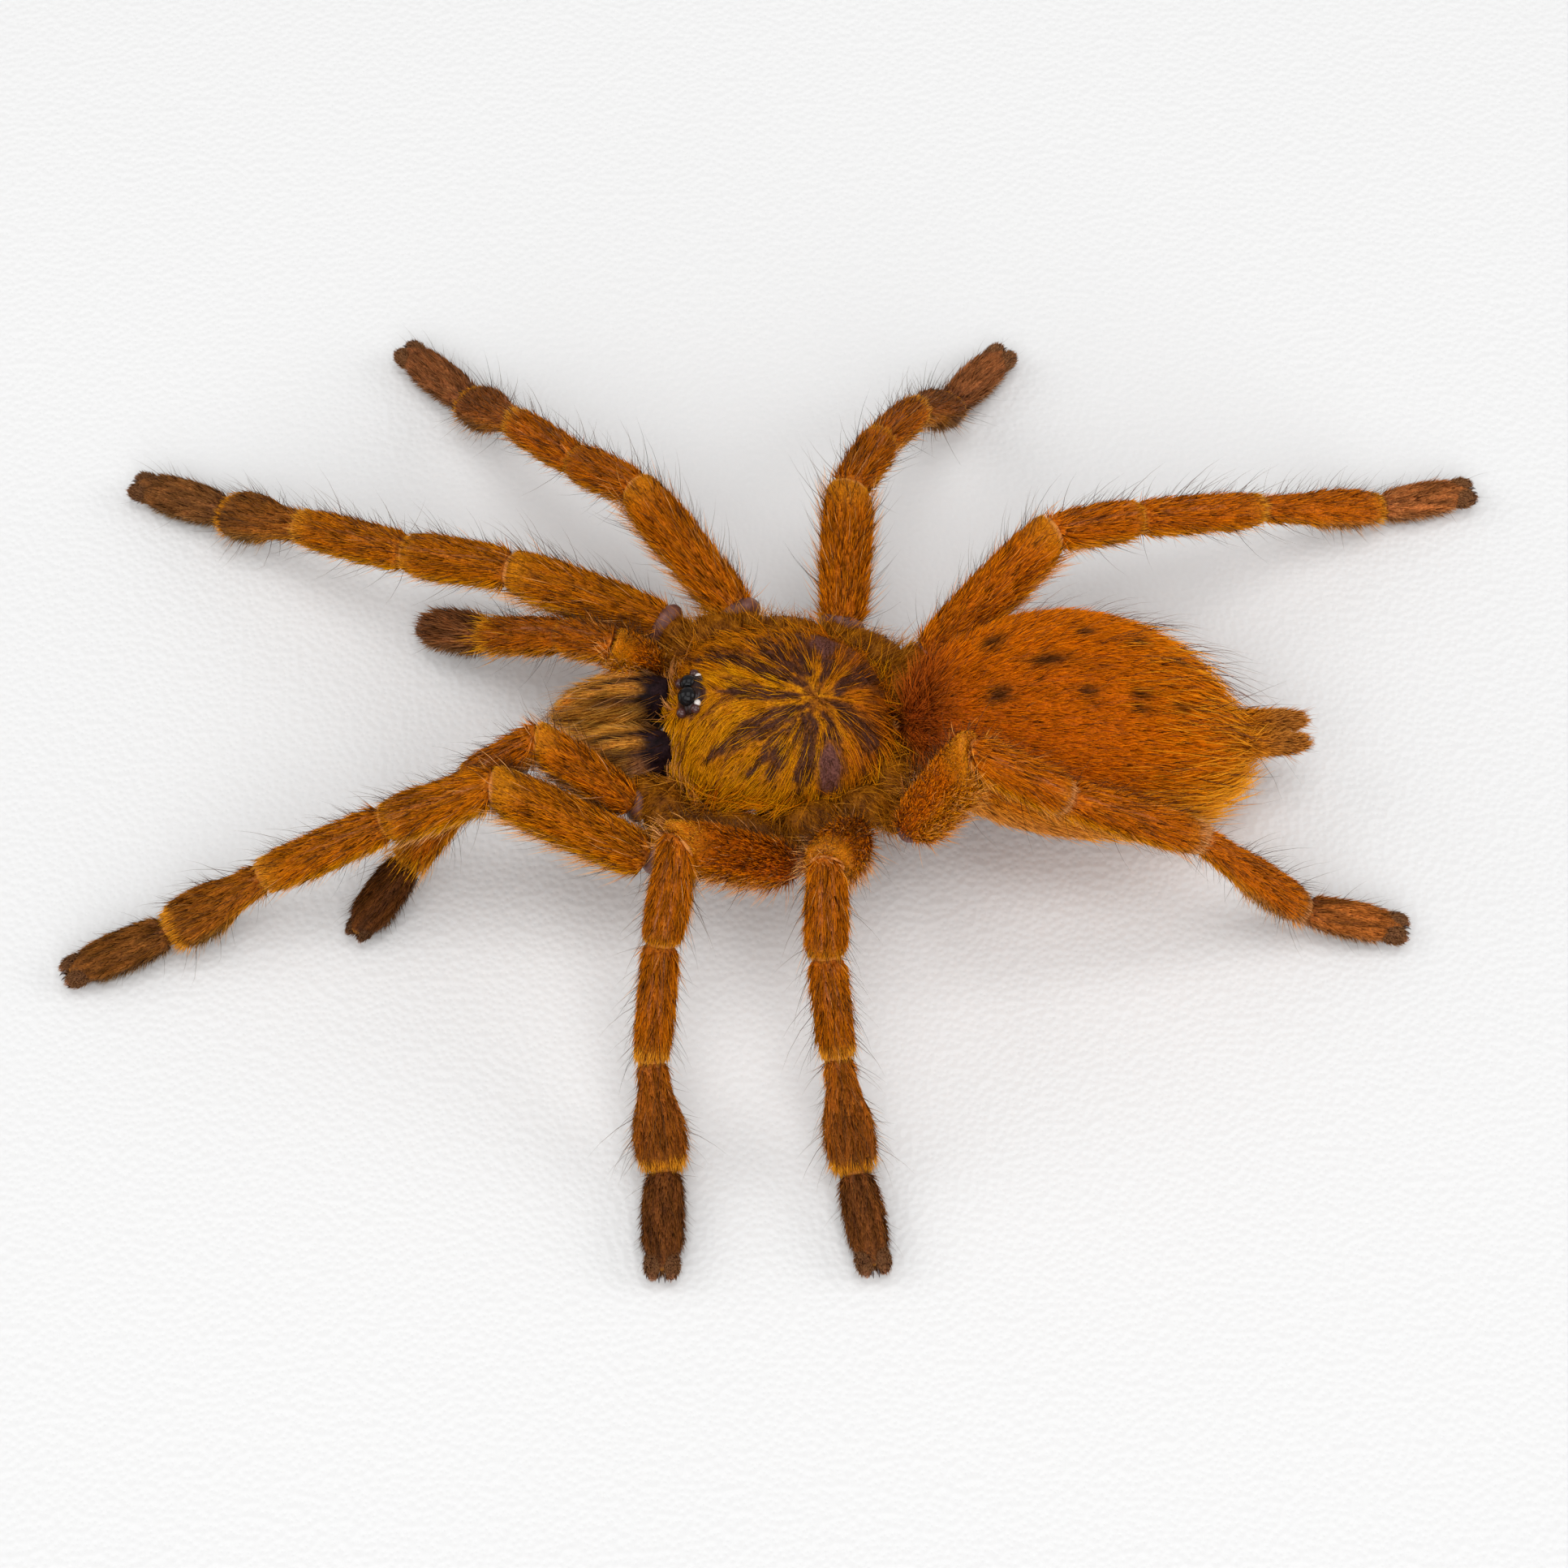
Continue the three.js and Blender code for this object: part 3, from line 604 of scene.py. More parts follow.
def dress_limb_plate(mesh, kind, root, tip, limb):
    """Paints the hair's flow, thickness, length and colour on one plate of a limb."""
    duskiness, trim, shaggy, hang, ring_width, ring_reach = PLATE_RULES[kind]
    foot, right, leg_4 = kind == "tarsus", "right" in limb, "leg_4" in limb
    points, outward = surface(mesh)
    axis = np.array(tip - root) / MM
    length = np.linalg.norm(axis)
    axis /= length
    from_root = points - np.array(root) / MM
    t = np.clip(from_root @ axis / length, 0, 1)
    spoke = from_root - (from_root @ axis)[:, None] * axis
    up = np.array([0, 0, 1.0]) - axis[2] * axis
    up /= max(np.linalg.norm(up), 1e-6)
    away = np.linalg.norm(spoke, axis=1)
    girth = np.percentile(away, 80)
    back, side = (spoke @ up) / girth, (spoke @ np.cross(axis, up)) / girth

    # The last plate but one swells with its brush of hair, and the foot narrows to its tip.
    if kind in ("metatarsus", "tarsus"):
        if foot:
            brush = -0.3 * ramp(0.74, 0.95, t) * away / girth
        else:
            brush = 0.55 * ramp(0.15, 0.6, t) * ramp(1.0, 0.86, t) * ramp(0.95, 0.3, back) * (0.5 if leg_4 else 1.0)
        points = points + brush[:, None] * unit(spoke)
        points[:, 2] = np.maximum(points[:, 2], 0.02)
        mesh.vertices.foreach_set("co", (points * MM).astype(np.float32).ravel())
        mesh.update()
    height = points[:, 2]

    # Where the plate is bare: the two lines along its back, and the face it turns to the next plate.
    endwards = np.abs(outward @ axis)
    facing_end = ramp(0.75, 0.97, endwards) if kind in ("femur", "patella") else ramp(0.55, 0.85, endwards)
    streak = np.maximum(np.exp(-(((side - 0.3) / 0.11) ** 2)), np.exp(-(((side + 0.3) / 0.11) ** 2)))
    extent = {"patella": ramp(0.02, 0.1, t) * ramp(0.97, 0.85, t), "tibia": ramp(0.04, 0.12, t) * ramp(0.75, 0.5, t)}
    streak = streak * ramp(0.2, 0.5, back) * extent.get(kind, 0.35 * ramp(0.2, 0.05, t))
    at_ring = ramp(ring_width + 0.3, ring_width, (1 - t) * length) * (not foot)
    pad = ramp(0.35, -0.4, back) * {"tarsus": 1.0, "metatarsus": ramp(0.3, 0.6, t)}.get(kind, 0.0)
    haired = 1 - facing_end

    # The dye: orange with browner blotches and back, dusky towards the foot, golden below; then painted light and shade
    # make it lighter or darker leg by leg.
    mottle = blotches(points, 1.6, len(points) % 17)
    darkening = 0.0
    # On the right legs the metatarsus is made duskier than on the left: painted shade.
    if kind == "metatarsus":
        duskiness, darkening = (0.05, 0.0) if leg_4 else (0.5 if right else duskiness, 0.35 * t)
    dye = blend((1.0, 0.3, 0.003), (0.68, 0.17, 0.004), 0.1 + 0.5 * mottle)
    dye = blend(dye, (0.5, 0.17, 0.008), 0.45 * ramp(0.1, 0.95, back))
    # The dusky colour is greyer on the right legs than on the left: painted light.
    dusky = (0.3, 0.125, 0.048) if right else (0.28, 0.105, 0.026)
    dye = blend(dye, dusky, np.clip(duskiness + darkening, 0, 1) + 0 * t)
    if not foot:
        golden = np.clip(0.6 * ramp(0.4, -0.4, back) + 0.3 * ramp(0.8, 0.97, t), 0, 0.7)
        dye = blend(dye, GOLD, golden * (1 - duskiness))
    dye = blend(dye, (0.27, 0.145, 0.06), 0.85 * pad)
    flow = along_skin(axis, outward)
    strands = locks(points, flow, 0.7, 1.8, len(points) % 13)
    dye = dye * ((0.5 + 0.95 * strands) if foot else (0.7 + 0.55 * strands))[:, None]
    # Each foot made lighter or darker by its table: painted light and shade.
    if foot:
        dye = dye * FOOT_LIGHTNESS.get(limb, 1.0)
    # Leg 4 made lighter: painted light; leg 1 made more yellow.
    if leg_4 or "leg_1" in limb:
        dye = dye * np.array([1.1, 1.06, 0.9] if leg_4 else [1.07, 1.18, 1.0])
    # The thigh of the left second leg made darker: painted shade.
    if kind == "femur" and limb == "left_leg_2":
        dye = dye * np.array([0.95, 0.8, 0.5])
    # Each limb made lighter by its table: painted light.
    dye = within_white(dye * LIMB_LIGHTNESS.get(limb, 1.08))
    pale = blend(PEACH, GOLD, 0.6 * mottle)
    bare_dye = blend((0.3, 0.1, 0.05), (0.5, 0.24, 0.14), mottle)
    ring_dye = (1.0, 0.42, 0.02) if kind in ("femur", "patella") else (1.0, 0.43, 0.03)

    short_end = 0.65 * ramp(0.66, 0.9, t) if foot else 0.5 * ramp(0.74, 0.9, t)
    if foot and limb == "right_palp":
        trim, short_end = 1.15, 0.25 * ramp(0.8, 1.0, t)
    paint(
        mesh, flow=unit(flow * (1 - 0.5 * pad[:, None]) + outward * (0.5 * pad[:, None])),
        hair_dye=dye, under_dye=dye * 0.45,
        fringe_dye=blend(dye, pale, (0.4 if leg_4 else 0.85) * (1 - duskiness) * np.ones(len(points))),
        bristle_dye=(0.12, 0.06, 0.03),
        ring_dye=PALE_RING if limb == "left_leg_4" and kind != "femur" else ring_dye,
        spill_dye=blend(GOLD, (1.0, 0.4, 0.02), mottle),
        shell_dye=blend(bare_dye, (0.75, 0.3, 0.03), facing_end),
        bare=np.clip(0.5 * streak + 0.5 * facing_end, 0, 1),
        coat=(1 - 0.6 * streak) * haired * (1 + 0.5 * pad) * (1 - 0.85 * at_ring),
        reach=trim * (1 + 0.2 * ramp(-0.15, -0.75, back)) * (1 - 0.45 * pad) * (1 - short_end),
        ring=at_ring * ramp(1.0, 0.75, endwards) * (0.3 + 0.7 * ramp(-0.7, 0.0, back)),
        ring_reach=ring_reach,
        spill=ramp(0.55, 0.85, t) * haired * (kind == "tibia" and "palp" in limb),
        fringe=(shaggy * (1.1 * ramp(0.2, -0.4, back) + 0.05)) * haired,
        fringe_reach=hang * ramp(-0.2, 0.5, height / 4),
        bristle=(0.4 + ramp(-0.3, 0.4, back)) * haired * (0.6 if foot else 1.0),
        bristle_reach=(0.6 + 0.5 * mottle) * (0.6 if foot else 1.0) * ramp(-0.5, 1.0, height / 2),
        fuzz_reach=(0.75 if foot else 1.0) * ramp(-0.3, 0.6, height),
    )


for limb in LIMBS:
    start, skins, last = BODY_MIDDLE, [], None
    for kind in SEGMENTS["palp" if "palp" in limb else "leg"]:
        node = f"{kind}_{limb}"
        root, tip = axis_ends(node, start)
        skin = skin_of(node, node + "_skin", 0.1, 2, skin_finish)
        dress_limb_plate(skin.data, kind, root, tip, limb)
        if last:
            last_root, last_tip, thick = last
            bend = ((root - last_root).normalized() + (tip - root).normalized()).normalized()
            halves = (thick, thick, thick * 0.5)
            between = (root + last_tip) / 2
            settle(bead(f"joint_skin_{kind}_{limb}", between, bend, halves, joint_finish, ridge=0.03), "leg")
        points, _ = surface(skin.data)
        axis = np.array((tip - root).normalized())
        spoke = points * MM - np.array(root)
        spoke -= (spoke @ axis)[:, None] * axis
        last = (root, tip, float(np.percentile(np.linalg.norm(spoke, axis=1), 60)) * 0.72)
        settle(skin, "foot" if kind == "tarsus" else "leg", node)
        skins.append(skin.data)
        start = tip
    settle(grow(
        "hair_" + limb, joined(limb + "_scalp", skins),
        coat(4.0, 1.1, 0.1, 0.4, 31, ruffle=0.3, dye="under_dye"),
        coat(18.0, 1.3, 0.098, 0.3, 35, mottle=0.5, fairness=0.12),
        coat(
            8.0, 2.3, 0.072, 0.65, 32, 0.3, bends=2, fairness=0.2,
            where="fringe", reach="fringe_reach", dye="fringe_dye",
        ),
        coat(
            0.75, 3.9, 0.046, 1.1, 33, 0.4, bends=3, droop=0.25,
            where="bristle", reach="bristle_reach", dye="bristle_dye",
        ),
        coat(2.4, 1.7, 0.035, 1.2, 38, 0.5, fairness=0.3, where="bristle", reach="fuzz_reach", dye="bristle_dye"),
        coat(44.0, 1.0, 0.1, 0.35, 34, 0.25, 0.3, 1, 0.15, 0.4, 0.3, "ring", "ring_reach", "ring_dye"),
        coat(8.0, 3.0, 0.08, 0.3, 36, 0.3, bends=2, fairness=0.3, where="spill", reach="ring_reach", dye="spill_dye"),
    ), "leg")

# ======================================================== Feet: claw pads and claws
# Every foot ends in two soft lobes, side by side, packed with short fine hair that grips the ground, and each leg's
# foot also has two small curved claws of black horn between them.

# Painted light and shade: each foot's pads made lighter or darker as the light falls on them.
PAD_LIGHTNESS = {"left_palp": 0.6, "right_leg_2": 1.2, "right_leg_3": 1.5, "right_leg_4": 1.3, "left_leg_4": 1.2}
PAD_HALF, PAD_HALF_LENGTH, PAD_BACK, PAD_APART = 0.74, 1.2, 0.6, 0.55  # millimetres
CLAW_LENGTH, CLAW_HALF = 0.95, 0.13

horn_finish = stained(
    "fang_horn", 900.0, 3.0, (0.006, 0.004, 0.004), (0.06, 0.02, 0.012),
    Roughness=0.15, Specular_IOR_Level=0.6, Coat_Weight=0.6,
)[0]


def claw(name, base, forwards, up, length, thick):
    """A closed horn, round in section, that bends down towards its point."""
    across = forwards.cross(up)
    horn = bmesh.new()

    def along_bend(share):
        return base + forwards * length * math.sin(1.3 * share) + up * length * 0.55 * (math.cos(1.3 * share) - 1)

    rings = []
    for step in range(6):
        middle, wide = along_bend(step / 6), thick * (1 - step / 6) ** 0.8
        rings.append([
            horn.verts.new(middle + (across * math.cos(turn) + up * math.sin(turn)) * wide)
            for turn in (2 * math.pi * k / 8 for k in range(8))
        ])
    point = horn.verts.new(along_bend(1.0))
    for first, second in zip(rings, rings[1:]):
        for k in range(8):
            horn.faces.new((first[k], first[(k + 1) % 8], second[(k + 1) % 8], second[k]))
    for k in range(8):
        horn.faces.new((rings[-1][k], rings[-1][(k + 1) % 8], point))
    horn.faces.new(list(reversed(rings[0])))
    bmesh.ops.recalc_face_normals(horn, faces=horn.faces)
    return placed(name, horn, horn_finish)


pads = []
for limb in LIMBS:
    root, tip = axis_ends("tarsus_" + limb, axis_ends("femur_" + limb, BODY_MIDDLE)[1])
    forwards = (tip - root).normalized()
    across = forwards.cross(Vector((0, 0, 1))).normalized()
    up = across.cross(forwards)
    size = 0.8 if "palp" in limb else 1.0
    for side, turn in (("right", 1), ("left", -1)):
        splayed = (forwards + across * 0.12 * turn).normalized()
        centre = tip - forwards * PAD_BACK * MM + across * PAD_APART * turn * size * MM
        centre.z = max(centre.z, 0.78 * size * MM)
        wide = PAD_HALF * size * MM
        pad = bead(f"claw_pad_{side}_{limb}", centre, splayed, (wide, wide, PAD_HALF_LENGTH * size * MM), skin_finish)
        points, outward = surface(pad.data)
        paler = 0.8 * ramp(0.6, 1.0, outward @ np.array(splayed)) + 0.3 * ramp(-0.2, -0.9, outward[:, 2])
        # Made lighter or darker foot by foot: painted light and shade.
        dye = blend((0.25, 0.125, 0.055), (0.6, 0.29, 0.16), paler) * PAD_LIGHTNESS.get(limb, 1.0)
        paint(
            pad.data, flow=along_skin(np.array(splayed), outward), hair_dye=dye, shell_dye=dye * 0.6, bare=0.0,
            coat=1 - 0.5 * ramp(-0.7, -0.95, outward[:, 2]), reach=1.0,
        )
        settle(pad, "foot")
        pads.append(pad.data)
        if "palp" not in limb:
            base = tip + (across * 0.22 * turn + up * 0.25) * MM
            settle(claw(f"claw_{side}_{limb}", base, forwards, up, CLAW_LENGTH * MM, CLAW_HALF * MM), "fang")
settle(grow(
    "hair_claw_pads", joined("pads_scalp", pads),
    coat(45.0, 0.34, 0.075, 0.8, 37, ruffle=0.4, tufts=0.2, mottle=0.8, fairness=0.05),
), "foot")

# ======================================================== Head shield
# One domed plate. Long golden hair fans out from the pit at its middle, over dark bare wedges where the
# muscles of the legs and the stomach take hold inside.

PIT = (1.7, -1.2)
WEDGES = [  # dark lines from the pit: millimetres forwards, sideways, and half-width
    [(1.3, 0.0, 0.1), (3.4, 0.0, 0.55), (5.6, 0.0, 0.6), (7.4, 0.0, 0.15)],
    [(1.0, 1.0, 0.25), (3.3, 1.9, 0.65), (5.3, 3.0, 0.8), (7.2, 3.9, 0.55), (8.8, 4.5, 0.2)],
    [(1.9, 2.3, 0.2), (3.6, 4.1, 0.35), (5.2, 5.7, 0.3)],
    [(1.1, 2.0, 0.2), (2.5, 4.0, 0.45), (3.8, 5.9, 0.4)],
    [(0.5, 2.0, 0.25), (0.9, 4.2, 0.55), (1.6, 6.4, 0.45)],
    [(-0.6, 1.5, 0.2), (-0.9, 3.2, 0.5)],
    [(-1.4, 0.6, 0.25), (-2.8, 1.9, 0.6), (-4.2, 3.2, 0.5)],
]


EYES_MIDDLE = (-7.75, -0.95)


def nearness_to_line(line, forwards, sideways):
    """1 on the line, falling to 0 past its half-width."""
    found = np.zeros(len(forwards))
    for (f0, s0, w0), (f1, s1, w1) in zip(line, line[1:]):
        step = np.array([f1 - f0, s1 - s0])
        t = np.clip(((forwards - f0) * step[0] + (sideways - s0) * step[1]) / (step @ step), 0, 1)
        away = np.hypot(forwards - f0 - t * step[0], sideways - s0 - t * step[1])
        found = np.maximum(found, ramp(1.8, 0.6, away / (w0 + t * (w1 - w0))))
    return found


shield = skin_of("carapace", "carapace_skin", 0.05, 3, skin_finish)
points, outward = surface(shield.data)
x, y, z = points.T
facing_up = outward[:, 2]
forwards = PIT[0] - x + 0.5 * (blotches(points, 2.2, 3) - 0.5)
sideways = np.abs(PIT[1] - y) + 0.5 * (blotches(points, 2.0, 6) - 0.5)
from_pit = np.stack([x - PIT[0], y - PIT[1]], 1)
radius = np.hypot(*from_pit.T)
under_side = ramp(0.0, -0.3, facing_up)
upper = 1 - under_side
head, rear = ramp(4.0, 8.0, forwards), ramp(0.5, -4.5, forwards)
rim = ramp(0.66, 0.3, facing_up) * upper
face = ramp(-7.3, -8.3, x)
patch = ramp(1.3, 0.8, np.hypot(forwards + 0.7, (sideways - 5.4) / 1.5))
eye_ring = ramp(1.25, 0.95, np.hypot(x - EYES_MIDDLE[0], (y - EYES_MIDDLE[1]) / 1.5))
grain = blotches(points, 1.1, 8)
over_head = np.stack([-0.55 + 0 * x, np.sign(y - PIT[1]), 0 * x], 1)
fan = np.concatenate([unit(from_pit), 0 * x[:, None]], 1)
flow = along_skin(fan * (1 - 0.7 * head[:, None]) + 0.7 * head[:, None] * unit(over_head), outward)
strands, thin = locks(points, flow, 1.0, 3.2, 21), locks(points, flow, 0.5, 1.8, 22)
wedge = np.max([nearness_to_line(line, forwards, sideways) for line in WEDGES], axis=0)
# The term in y darkens the far side of the shield: painted shade.
dark = 0.75 * wedge + 0.95 * (0.62 - strands) + 0.5 * (0.5 - thin) + 0.2 * ramp(-1, 3, y) + 0.3 * rear
dark = ramp(0.12, 0.7, dark + 0.5 * ramp(1.8, 0.6, radius))
# The terms in y make the far side more orange and darker, leaving the near side golden: painted shade and painted
# light.
dye = blend(GOLD, ORANGE, 0.75 * rear + 0.4 * ramp(0, 3, y))
dye = blend(dye, RUST, 0.35 * grain + 0.25 * rear)
dye = blend(dye, (0.5, 0.16, 0.008), np.clip(0.6 * rear + 0.45 * ramp(0.5, 3.5, y), 0, 0.7))
lock_dye = within_white(dye * (0.7 + 0.8 * thin)[:, None])
dye = blend(dye, (0.33, 0.11, 0.015), np.clip(0.85 * dark, 0, 1))
golden = np.clip(1 - 0.8 * dark - patch - eye_ring, 0, 1) * (1 - 0.4 * rear) * ramp(0.9, 2.8, radius)
paint(
    shield.data, flow=flow, hair_dye=dye, under_dye=dye * 0.3, lock_dye=lock_dye,
    shell_dye=blend((0.05, 0.019, 0.014), (0.2, 0.076, 0.056), np.clip(0.15 * grain + 0.85 * patch, 0, 1)),
    stubble_dye=blend((0.1, 0.035, 0.015), (0.3, 0.12, 0.05), grain),
    fringe_dye=blend(blend(GOLD, ORANGE, grain), (1.0, 0.5, 0.2), 0.7 * face),
    bare=np.clip(0.9 * wedge * dark + patch + eye_ring, 0, 1),
    stubble=np.clip(dark + patch, 0, 1) * (1 - eye_ring) * upper,
    coat=np.clip(1 - 0.3 * dark - 0.95 * patch - eye_ring, 0.0, 1) * upper, reach=0.75 + 0.4 * rim,
    fringe=rim * (1 - face), face=rim * face, fringe_reach=0.8 + 0.3 * blotches(points, 2.0, 14),
    gold_band=golden * upper,
)
settle(grow(
    "carapace_hair", shield.data,
    coat(10.0, 1.0, 0.08, 0.25, 41, 0.3, tufts=0.9, dye="under_dye"),
    coat(8.0, 1.2, 0.075, 0.3, 44, 0.35, tufts=1.0, mottle=1.2),
    coat(14.0, 0.6, 0.07, 0.5, 45, 0.5, mottle=1.2, where="stubble", dye="stubble_dye"),
    coat(18.0, 2.1, 0.082, 0.24, 42, 0.16, 1.1, 2, 0.25, mottle=1.1, fairness=0.4, where="gold_band", dye="lock_dye"),
    coat(15.0, 3.2, 0.07, 0.5, 43, 0.5, 1.8, 3, 0.4, 1.4, where="fringe", reach="fringe_reach", dye="fringe_dye"),
    coat(11.0, 2.3, 0.05, 0.6, 46, 0.3, 0.6, 3, 0.5, mottle=0.9, fairness=0.1, where="face", dye="fringe_dye"),
), "shield")
settle(shield, "shield", "carapace")

# ======================================================== Eyes
# Eight bare glassy lenses on a low dark mound at the front of the head: two large round ones that look up,
# and three smaller ones on each side, of which one is pearly.

lens_finish = stained(
    "dark_lens", 1500.0, 2.0, (0.002, 0.002, 0.002), (0.012, 0.011, 0.012), Roughness=0.05, Specular_IOR_Level=0.16
)[0]
amber_finish = stained(
    "amber_lens", 1800.0, 2.0, (0.02, 0.006, 0.005), (0.1, 0.035, 0.03), Roughness=0.12, Specular_IOR_Level=0.45
)[0]
pearl_finish = stained(
    "pearly_lens", 2500.0, 2.0, (0.4, 0.34, 0.3), (0.85, 0.82, 0.78),
    Roughness=0.1, Specular_IOR_Level=0.8, Coat_Weight=1.0,
)[0]
mound_finish = stained(
    "eye_mound_shell", 2200.0, 3.0, (0.006, 0.003, 0.003), (0.035, 0.014, 0.01), Roughness=0.22, Specular_IOR_Level=0.25
)[0]
EYES = [  # name, place on the head in millimetres, half-width, and lens
    ("front_left", -7.85, -1.2, 0.76, lens_finish), ("front_right", -7.85, 0.16, 0.66, lens_finish),
    ("pearly_left", -7.25, -1.8, 0.27, pearl_finish), ("pearly_right", -7.25, 0.7, 0.27, pearl_finish),
    ("side_left", -8.45, -1.95, 0.42, amber_finish), ("side_right", -8.45, 0.8, 0.42, amber_finish),
    ("rear_left", -7.4, -2.25, 0.38, amber_finish), ("rear_right", -7.4, 1.1, 0.38, amber_finish),
]
shield_points, shield_outward = surface(shield.data)


def bead_on_shield(name, bead_x, bead_y, halves, sink, finish):
    """A bead seated on the head shield, square to its surface, with its sizes in millimetres."""
    gap = np.hypot(shield_points[:, 0] - bead_x, shield_points[:, 1] - bead_y) + 100 * (shield_outward[:, 2] < 0.1)
    nearest = int(np.argmin(gap))
    seat, facing = Vector(shield_points[nearest]) * MM, Vector(shield_outward[nearest])
    halves = [half * MM for half in halves]
    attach(bead(name, seat + facing * sink * MM, facing, halves, finish, around=32, down=20), "root")


for name, eye_x, eye_y, half, finish in EYES:
    bead_on_shield("eye_" + name, eye_x, eye_y, (half, half, half * 0.9), half * 0.52, finish)
    if finish is lens_finish:
        bead_on_shield("eye_socket_" + name, eye_x, eye_y, (0.82, 0.82, 0.42), 0.0, mound_finish)
bead_on_shield("eye_mound", -7.85, -0.6, (1.8, 1.05, 0.6), -0.3, mound_finish)

# ======================================================== Jaws and fangs
# Two stout pods side by side, with hair combed forwards and dark bare stripes along the top. A black polished
# fang lies folded back under the front of each.

JAW_HALF_WIDTH = 2.1

for side in ("right", "left"):
    node = "chelicera_" + side
    jaw = skin_of(node, node + "_skin", 0.12, 2, skin_finish)
    points, outward = surface(jaw.data)
    x, y, z = points.T
    across = (y - points.mean(0)[1]) / JAW_HALF_WIDTH
    inner = -across if side == "left" else across
    stripe = np.maximum(np.exp(-(((across - 0.15) / 0.16) ** 2)), 0.8 * np.exp(-(((across + 0.55) / 0.13) ** 2)))
    stripe = stripe * ramp(0.0, 0.4, outward[:, 2]) * ramp(-16.6, -14.5, x)
    dark = np.clip(stripe + ramp(-12.2, -10.9, x), 0, 1)
    clear_of_head = ramp(-9.9, -10.6, x)
    combed = locks(points, along_skin(np.array([-1.0, 0.0, -0.15]), outward), 0.6, 2.6, 17)
    dye = blend((0.88, 0.37, 0.04), (1.0, 0.53, 0.09), blotches(points, 1.5, 4))
    dye = blend(dye, (0.05, 0.022, 0.02), 0.85 * dark)
    dye = dye * (0.48 + 1.25 * combed)[:, None]
    dye = blend(dye, (0.6, 0.32, 0.22), 0.7 * ramp(0.45, 0.9, inner) * ramp(-13.0, -12.0, x))
    forwards = np.stack([-1.0 + 0 * x, 0.12 * np.sign(across) * np.abs(across), -0.15 + 0 * x], 1)
    paint(
        jaw.data, flow=along_skin(forwards, outward), hair_dye=dye, bare=dark, reach=1.0,
        shell_dye=blend((0.008, 0.003, 0.004), (0.03, 0.013, 0.016), blotches(points, 0.7, 9)),
        coat=np.clip(1 - 0.75 * dark, 0, 1) * clear_of_head,
        fringe=(ramp(-14.5, -17.0, x) + 0.15) * np.clip(1 - dark, 0, 1) * clear_of_head,
        fringe_dye=blend((0.9, 0.55, 0.28), (0.45, 0.22, 0.09), blotches(points, 1.2, 6)),
    )
    settle(grow(
        "hair_" + node, jaw.data,
        coat(26.0, 1.4, 0.075, 0.4, 51, tufts=0.5, mottle=1.3),
        coat(3.5, 2.8, 0.06, 0.6, 52, 0.35, bends=4, droop=0.4, where="fringe", dye="fringe_dye"),
    ), "jaw")
    settle(jaw, "jaw", node)

for side in ("right", "left"):
    settle(skin_of("fang_" + side, f"fang_{side}_horn", 0.02, 2, horn_finish), "fang", "fang_" + side)

# ======================================================== Breast plate, hip joints and ring segments
# The breast plate and the ten hip joints under the head shield are brown plates with short hair, with soft
# hairy skin between them. Between each hip and thigh sits a short bare ring segment, shiny and purple-brown.

WAIST_SIDE = (7.6, 1.5, 7.3)  # millimetres: along, off the middle line, and up
COLLAR_HALF, COLLAR_HALF_LENGTH, COLLAR_BACK = 1.55, 1.1, 1.4
SIDE_SKIN_HALF, SIDE_SKIN_RAISE = 1.7, 0.7
WIDE_RING, SLIM_RING = (1.85, 0.15), (1.45, 0.4)  # half-width, and how far it sits back from the thigh


def to_middle_line(place):
    """The level direction from a place to the middle of the body."""
    return Vector((-1.0 - place.x / MM, -1.0 - place.y / MM, 0)).normalized()


breast = skin_of("sternum_and_coxae", "sternum_and_coxae_skin", 0.05, 1, skin_finish)
points, outward = surface(breast.data)
x, y, z = points.T
from_middle = np.hypot(x + 1.0, y + 1.0)
dye = blend((0.55, 0.2, 0.03), (0.9, 0.4, 0.06), blotches(points, 1.8, 12))
paint(
    breast.data, flow=along_skin(unit(np.stack([x + 1.0, y + 1.0, 0 * x], 1)), outward),
    hair_dye=dye, shell_dye=dye * 0.4, bare=0.0,
    coat=ramp(3.5, 5.5, from_middle) * 0.8 + 0.2, reach=0.6 + 0.5 * ramp(5, 9, from_middle),
    fringe=ramp(5.5, 7.5, from_middle) * ramp(-0.5, 0.1, outward[:, 2]),
    fringe_dye=blend((0.34, 0.115, 0.012), (1.0, 0.43, 0.045), blotches(points, 0.9, 12)),
)
settle(breast, "underside", "sternum_and_coxae")
scalps, seats = [breast.data], []
for limb in LIMBS:
    inwards = to_middle_line(axis_ends("femur_" + limb, BODY_MIDDLE)[0])
    seat = axis_ends("femur_" + limb, BODY_MIDDLE)[0] + inwards * COLLAR_BACK * MM
    seats.append(("hip_collar_" + limb, seat, -inwards, COLLAR_HALF, COLLAR_HALF_LENGTH))
for side, turn in (("right", 1), ("left", -1)):
    row = [seat[1] for seat in seats if side in seat[0]]
    row = row[-1:] + row[:-1] + [Vector((WAIST_SIDE[0], -1.0 + turn * WAIST_SIDE[1], WAIST_SIDE[2])) * MM]
    for number, (first, second) in enumerate(zip(row, row[1:]), 1):
        middle = (first + second) / 2 + Vector((0, 0, SIDE_SKIN_RAISE)) * MM
        reach = (second - first).length * 0.48 / MM
        seat = middle + to_middle_line(middle) * 1.0 * MM
        seats.append((f"side_skin_{side}_{number}", seat, (second - first).normalized(), SIDE_SKIN_HALF, reach))
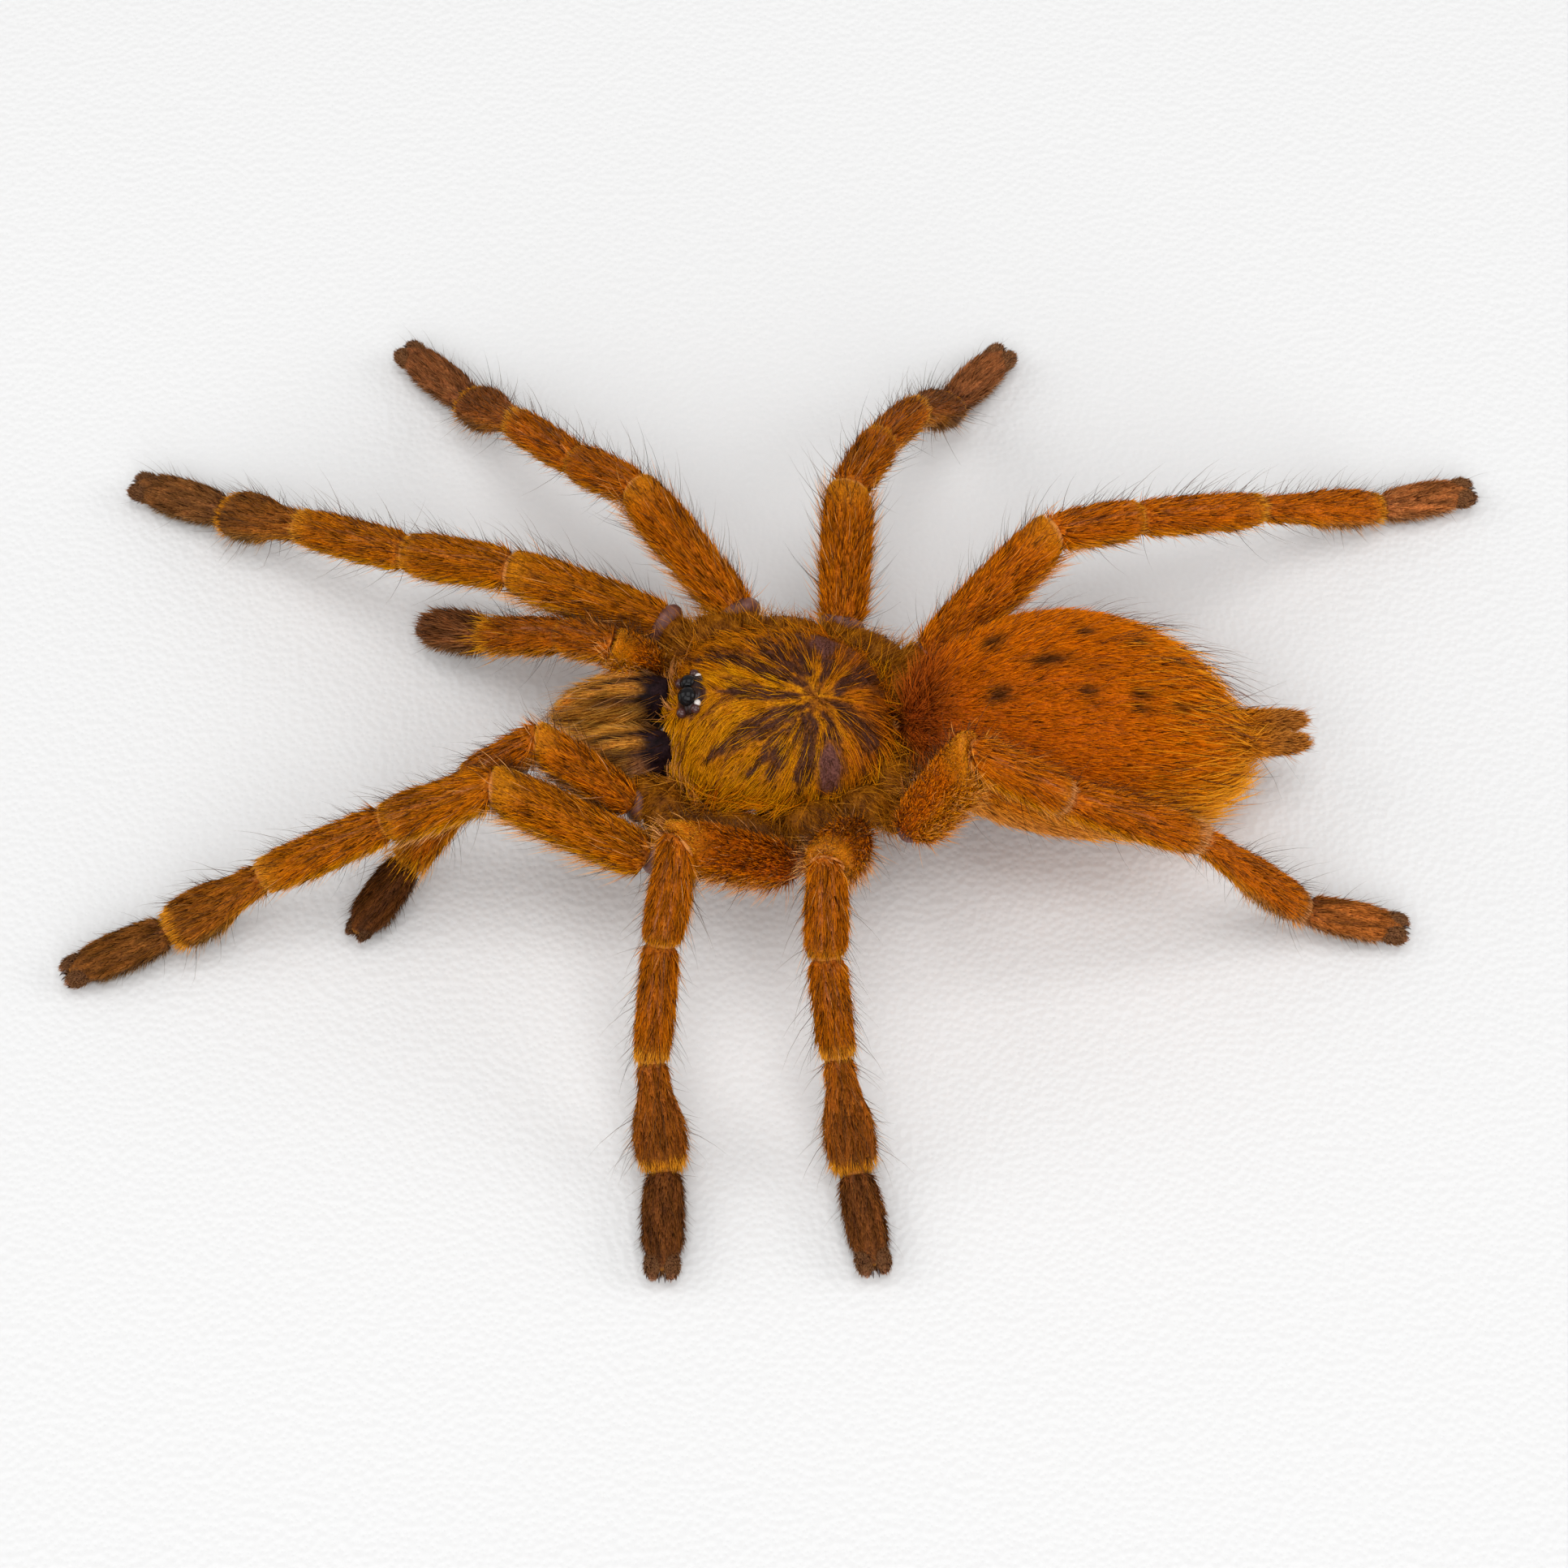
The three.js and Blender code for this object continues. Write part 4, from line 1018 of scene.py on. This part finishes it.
for name, seat, along, radius, half in seats:
    collar = bead(name, seat, along, (radius * MM, radius * MM, half * MM), skin_finish)
    points, outward = surface(collar.data)
    dye = blend((0.34, 0.115, 0.008), (1.0, 0.4, 0.015), blotches(points, 0.9, 4))
    upper = ramp(-0.8, -0.1, outward[:, 2])
    paint(
        collar.data, flow=along_skin(-np.array(to_middle_line(seat)), outward), hair_dye=dye * 0.6, fringe_dye=dye,
        shell_dye=dye * 0.5, bare=0.0, coat=upper, reach=0.55, fringe=0.8 * upper,
    )
    settle(collar, "underside")
    scalps.append(collar.data)
settle(grow(
    "hair_sternum_and_coxae", joined("hip_scalp", scalps),
    coat(7.0, 1.3, 0.1, 0.45, 61, 0.35),
    coat(9.0, 3.1, 0.08, 0.6, 62, 0.6, 1.4, 2, 0.3, mottle=1.4, where="fringe", dye="fringe_dye"),
), "underside")

ring_finish = stained(
    "bare_plate", 1200.0, 4.0, (0.07, 0.024, 0.018), (0.24, 0.1, 0.075), 0.3, 0.75,
    Roughness=0.42, Specular_IOR_Level=0.25,
)[0]
for limb in LIMBS:
    root, tip = axis_ends("femur_" + limb, BODY_MIDDLE)
    lean = ((tip - root).normalized() * 0.7 - to_middle_line(root)).normalized()
    half, back_off = WIDE_RING if limb in ("right_leg_1", "right_leg_2", "right_leg_3") else SLIM_RING
    halves = (half * MM, half * MM, 0.55 * half * MM)
    settle(bead("ring_segment_" + limb, root - lean * back_off * MM, lean, halves, ring_finish), "underside")

# ======================================================== Waist
# A short thin tube of skin that joins the hind body to the front.

waist = skin_of("pedicel", "pedicel_skin", 0.1, 2, joint_finish)
points, outward = surface(waist.data)
paint(
    waist.data, flow=along_skin(np.array([0.6, 0.0, 0.3]), outward), reach=1.0,
    hair_dye=blend((0.5, 0.14, 0.01), (0.25, 0.06, 0.01), blotches(points, 0.8, 3)),
    coat=ramp(0.98, 0.8, np.abs(outward[:, 0])),
)
settle(grow("hair_pedicel", waist.data, coat(26.0, 2.7, 0.09, 1.1, 66, 0.6, tufts=0.8, bends=2)), "underside")
settle(waist, "underside", "pedicel")

# ======================================================== Spinnerets
# Two long blunt fingers of ringed segments and two small ones under them, all in short brown hair.

for name in ("spinneret_right", "spinneret_left", "small_spinneret_right", "small_spinneret_left"):
    finger = skin_of(name, name + "_skin", 0.05 if name.startswith("small") else 0.28, 2, skin_finish)
    points, outward = surface(finger.data)
    dye = blend((1.0, 0.36, 0.015), (0.72, 0.29, 0.05), ramp(34.5, 37.5, points[:, 0]))
    paint(
        finger.data, flow=along_skin(np.array([1.0, 0.0, 0.0]), outward), hair_dye=dye, shell_dye=dye * 0.5,
        bare=0.0, coat=1.0, reach=1.0,
    )
    settle(grow(
        "hair_" + name, finger.data, coat(55.0, 0.75, 0.085, 0.6, 71, 0.3), coat(3.0, 1.5, 0.05, 0.9, 72, 0.4)
    ), "spinneret")
    settle(finger, "spinneret", name)
